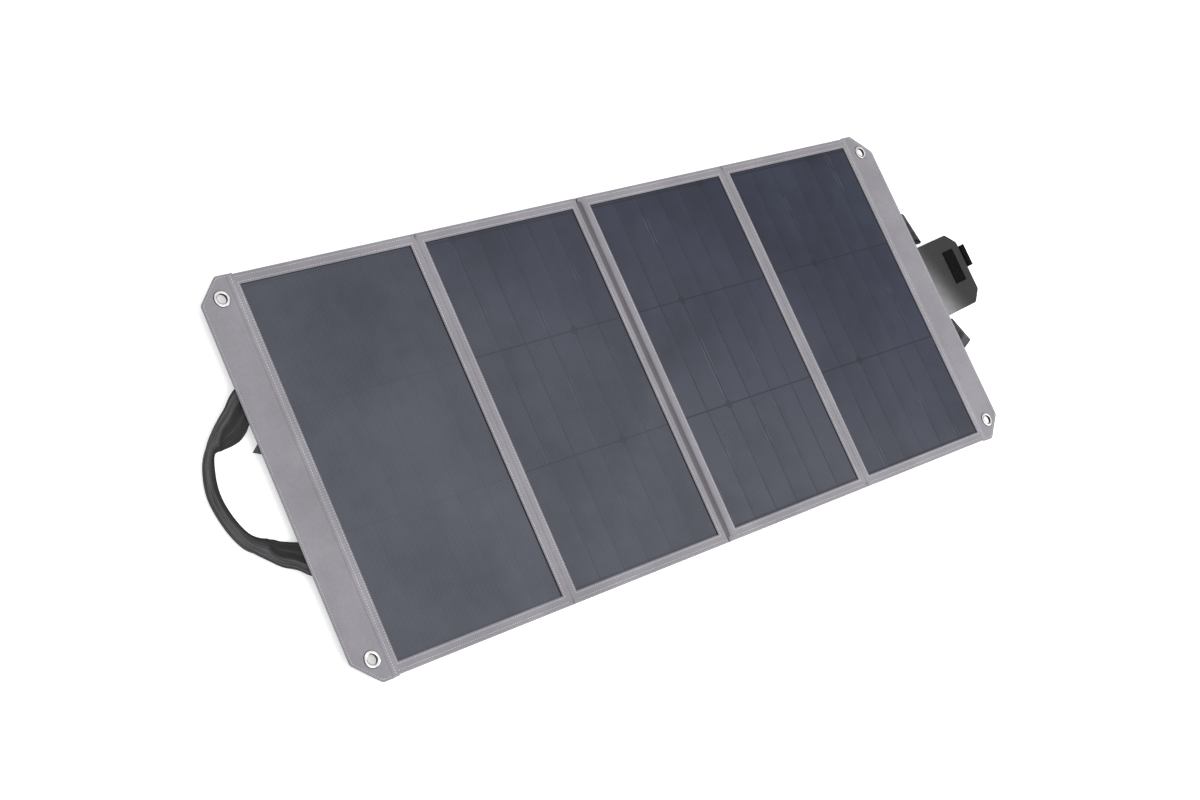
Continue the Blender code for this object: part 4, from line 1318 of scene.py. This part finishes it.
def landing_tab():
    """The tab behind the left flap whose corner shows past its edge."""
    low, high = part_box("landing_tab")
    corner_y = MID_Y + 42.5 * MM
    inner_x = LEFT_EDGE + 3 * MM
    corners = [
        (high.x, low.y), (high.x, high.y), (inner_x, high.y),
        (low.x, corner_y), (inner_x, corner_y - 6 * MM), (LEFT_EDGE + 14 * MM, low.y),
    ]
    outline = anticlockwise([Vector(corner) for corner in corners])
    rings = [(0.4 * MM, low.z), (0.0, low.z + 0.5 * MM), (0.0, high.z - 0.5 * MM), (0.4 * MM, high.z)]
    piece = pad("landing_tab_fabric", outline, rings, DARK)
    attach(piece, "panel_1")
    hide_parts("landing_tab")
    patch_x = (LEFT_EDGE + 16 * MM, LEFT_EDGE + 46 * MM)
    patch_y = (MID_Y - 30 * MM, MID_Y + 34 * MM)
    corners = [(patch_x[0], patch_y[0]), (patch_x[1], patch_y[0]), (patch_x[1], patch_y[1]), (patch_x[0], patch_y[1])]
    rings = [
        (1.4 * MM, low.z - 1.3 * MM), (0.5 * MM, low.z - 1.2 * MM), (0.0, low.z - 0.8 * MM),
        (0.0, low.z - 0.1 * MM), (0.6 * MM, low.z + 0.2 * MM),
    ]
    patch = pad("landing_loop_patch", anticlockwise(rounded(corners, 2 * MM)), rings, HOOK)
    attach(patch, "panel_1")


def cad_finishes():
    """Materials for the CAD nodes that stay as they are."""
    diamonds = {1: [], 2: [(4, 1), (4, 2)], 3: [(2, 1), (2, 2)], 4: [(2, 1), (2, 2)]}
    half_diamonds = {1: [], 2: [(1, 3)], 3: [(5, 3)], 4: [(4, 3)]}
    clarity = {1: 0.22, 2: 0.6, 3: 0.9, 4: 0.95}
    nodes = frame["nodes"]

    def paint(name, material):
        nodes[name].data.materials.clear()
        nodes[name].data.materials.append(material)

    for number in (1, 2, 3, 4):
        marks = diamonds[number] + half_diamonds[number]
        paint(f"front_sheet_{number}", film(number, WINDOWS_X[number - 1], clarity[number], marks))
        paint(f"cells_{number}", SILICON)
        paint(f"board_{number}", BOARD)
        paint(f"back_cover_{number}", BACK)
    for fold in FOLDS:
        for side in ("left", "right"):
            paint(f"lead_{fold}_{side}", BLACK_PLASTIC)
    for name in ("output_box_base", "output_box_lid", "output_socket"):
        paint(name, BLACK_PLASTIC)
    paint("regulator_board", BOARD)


def back_stitches(number):
    """Two rows of dark stitching round each back cover."""
    low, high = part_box(f"back_cover_{number}")
    z = low.z - 0.02 * MM
    runs = []
    for margin in (4.0 * MM, 7.0 * MM):
        for y in (low.y + margin, high.y - margin):
            runs.append(((low.x, y, z), (high.x, y, z)))
    stitches(f"back_stitches_{number}", runs, f"panel_{number}", DARK_THREAD, radius=0.33 * MM)


# ---------------------------------------------------------------- build it

for panel_number in (1, 2, 3, 4):
    front_fabric(panel_number)
    front_stitches(panel_number)
    back_stitches(panel_number)
for fold_name in FOLDS:
    first_body, second_body, fold_ends = hinge_strip(fold_name)
    hinge_back(fold_name, first_body, second_body, fold_ends)
for flap_side, flap_body in (("left", "panel_1"), ("right", "panel_4")):
    flap_line = end_flap(flap_side, flap_body)
    seam_runs = seam_band(flap_side, flap_body)
    hem = closed_runs(inset(flap_line, 3.2 * MM), FLAP_TOP - 0.05 * MM)
    band_x = WINDOWS_X[0][0] - BAND if flap_side == "left" else WINDOWS_X[3][1] + BAND
    if flap_side == "left":
        hem = [run for run in hem if max(run[0][0], run[1][0]) < band_x + 8 * MM]
    else:
        hem = [run for run in hem if min(run[0][0], run[1][0]) > band_x - 8 * MM]
    stitches(f"{flap_side}_seam_stitches", seam_runs, flap_body, THREAD)
    stitches(f"{flap_side}_hem_stitches", hem, flap_body, THREAD, radius=0.26 * MM)
    for eyelet_node in EYELETS[flap_side]:
        eyelet(flap_side, eyelet_node, flap_body)
handle_left()
handle_right()
closing_tab()
landing_tab()
for leg_number in (2, 3):
    leg(leg_number)
pocket()
pocket_flap()
cad_finishes()


# ---------------------------------------------------------------- floor, light and camera

def studio():
    """A pale floor, a soft sky that is brightest overhead, and two wide soft lights."""
    bpy.ops.mesh.primitive_plane_add(size=40.0, location=(0.0, 0.0, -0.0002))
    floor = bpy.context.active_object
    floor.name = "floor"
    nodes = Nodes("pale_floor")
    vector, _ = nodes.position()
    grain = nodes.noise(vector, 3.0, 2.0)
    pale = nodes.mix(grain, (0.90, 0.90, 0.90), (0.93, 0.93, 0.93))
    nodes.join(pale, nodes.shader.inputs["Emission Color"])
    nodes.shader.inputs["Emission Strength"].default_value = 0.55
    floor.data.materials.append(nodes.finish(pale, 0.9, Specular_IOR_Level=0.0))
    world = bpy.data.worlds.new("studio")
    bpy.context.scene.world = world
    world.use_nodes = True
    tree = world.node_tree
    background = tree.nodes["Background"]
    coordinates = tree.nodes.new("ShaderNodeTexCoord")
    parts = tree.nodes.new("ShaderNodeSeparateXYZ")
    ramp = tree.nodes.new("ShaderNodeMapRange")
    ramp.interpolation_type = "SMOOTHSTEP"
    tree.links.new(coordinates.outputs["Generated"], parts.inputs[0])
    tree.links.new(parts.outputs[2], ramp.inputs[0])
    for socket, value in zip(ramp.inputs[1:5], (0.45, 0.95, 0.55, 1.25)):
        socket.default_value = value
    tree.links.new(ramp.outputs[0], background.inputs["Strength"])
    background.inputs["Color"].default_value = (0.985, 0.99, 1.0, 1.0)
    for name, place, size, power in (
        ("key", (-0.4, -1.6, 2.6), 2.2, 34.0),
        ("fill", (1.7, -1.0, 1.5), 1.4, 13.0),
    ):
        lamp = bpy.data.lights.new(name, "AREA")
        lamp.shape = "SQUARE"
        lamp.size = size
        lamp.energy = power
        light = bpy.data.objects.new(name, lamp)
        bpy.context.scene.collection.objects.link(light)
        light.location = place
        light.rotation_mode = "QUATERNION"
        light.rotation_quaternion = (-Vector(place)).to_track_quat("-Z", "Y")


def camera():
    """A long-lens view from the left and well above, rolled so the blanket climbs to the right."""
    corner = Vector((WINDOWS_X[0][0], WINDOW_Y[0], FILM_Z))
    lens = bpy.data.cameras.new("camera")
    lens.sensor_width = 36.0
    lens.lens = 56.86
    eye = bpy.data.objects.new("camera", lens)
    bpy.context.scene.collection.objects.link(eye)
    forward = Vector((0.6306, 0.1379, -0.7638)).normalized()
    right = Vector((0.7405, -0.4016, 0.5389))
    right = (right - forward * right.dot(forward)).normalized()
    up = right.cross(forward)
    turn = Matrix((right, up, -forward)).transposed().to_4x4()
    eye.matrix_world = Matrix.Translation(corner + Vector((-1.1398, -0.1226, 1.9093))) @ turn
    bpy.context.scene.camera = eye


studio()
camera()
bpy.context.scene.view_settings.view_transform = "Standard"
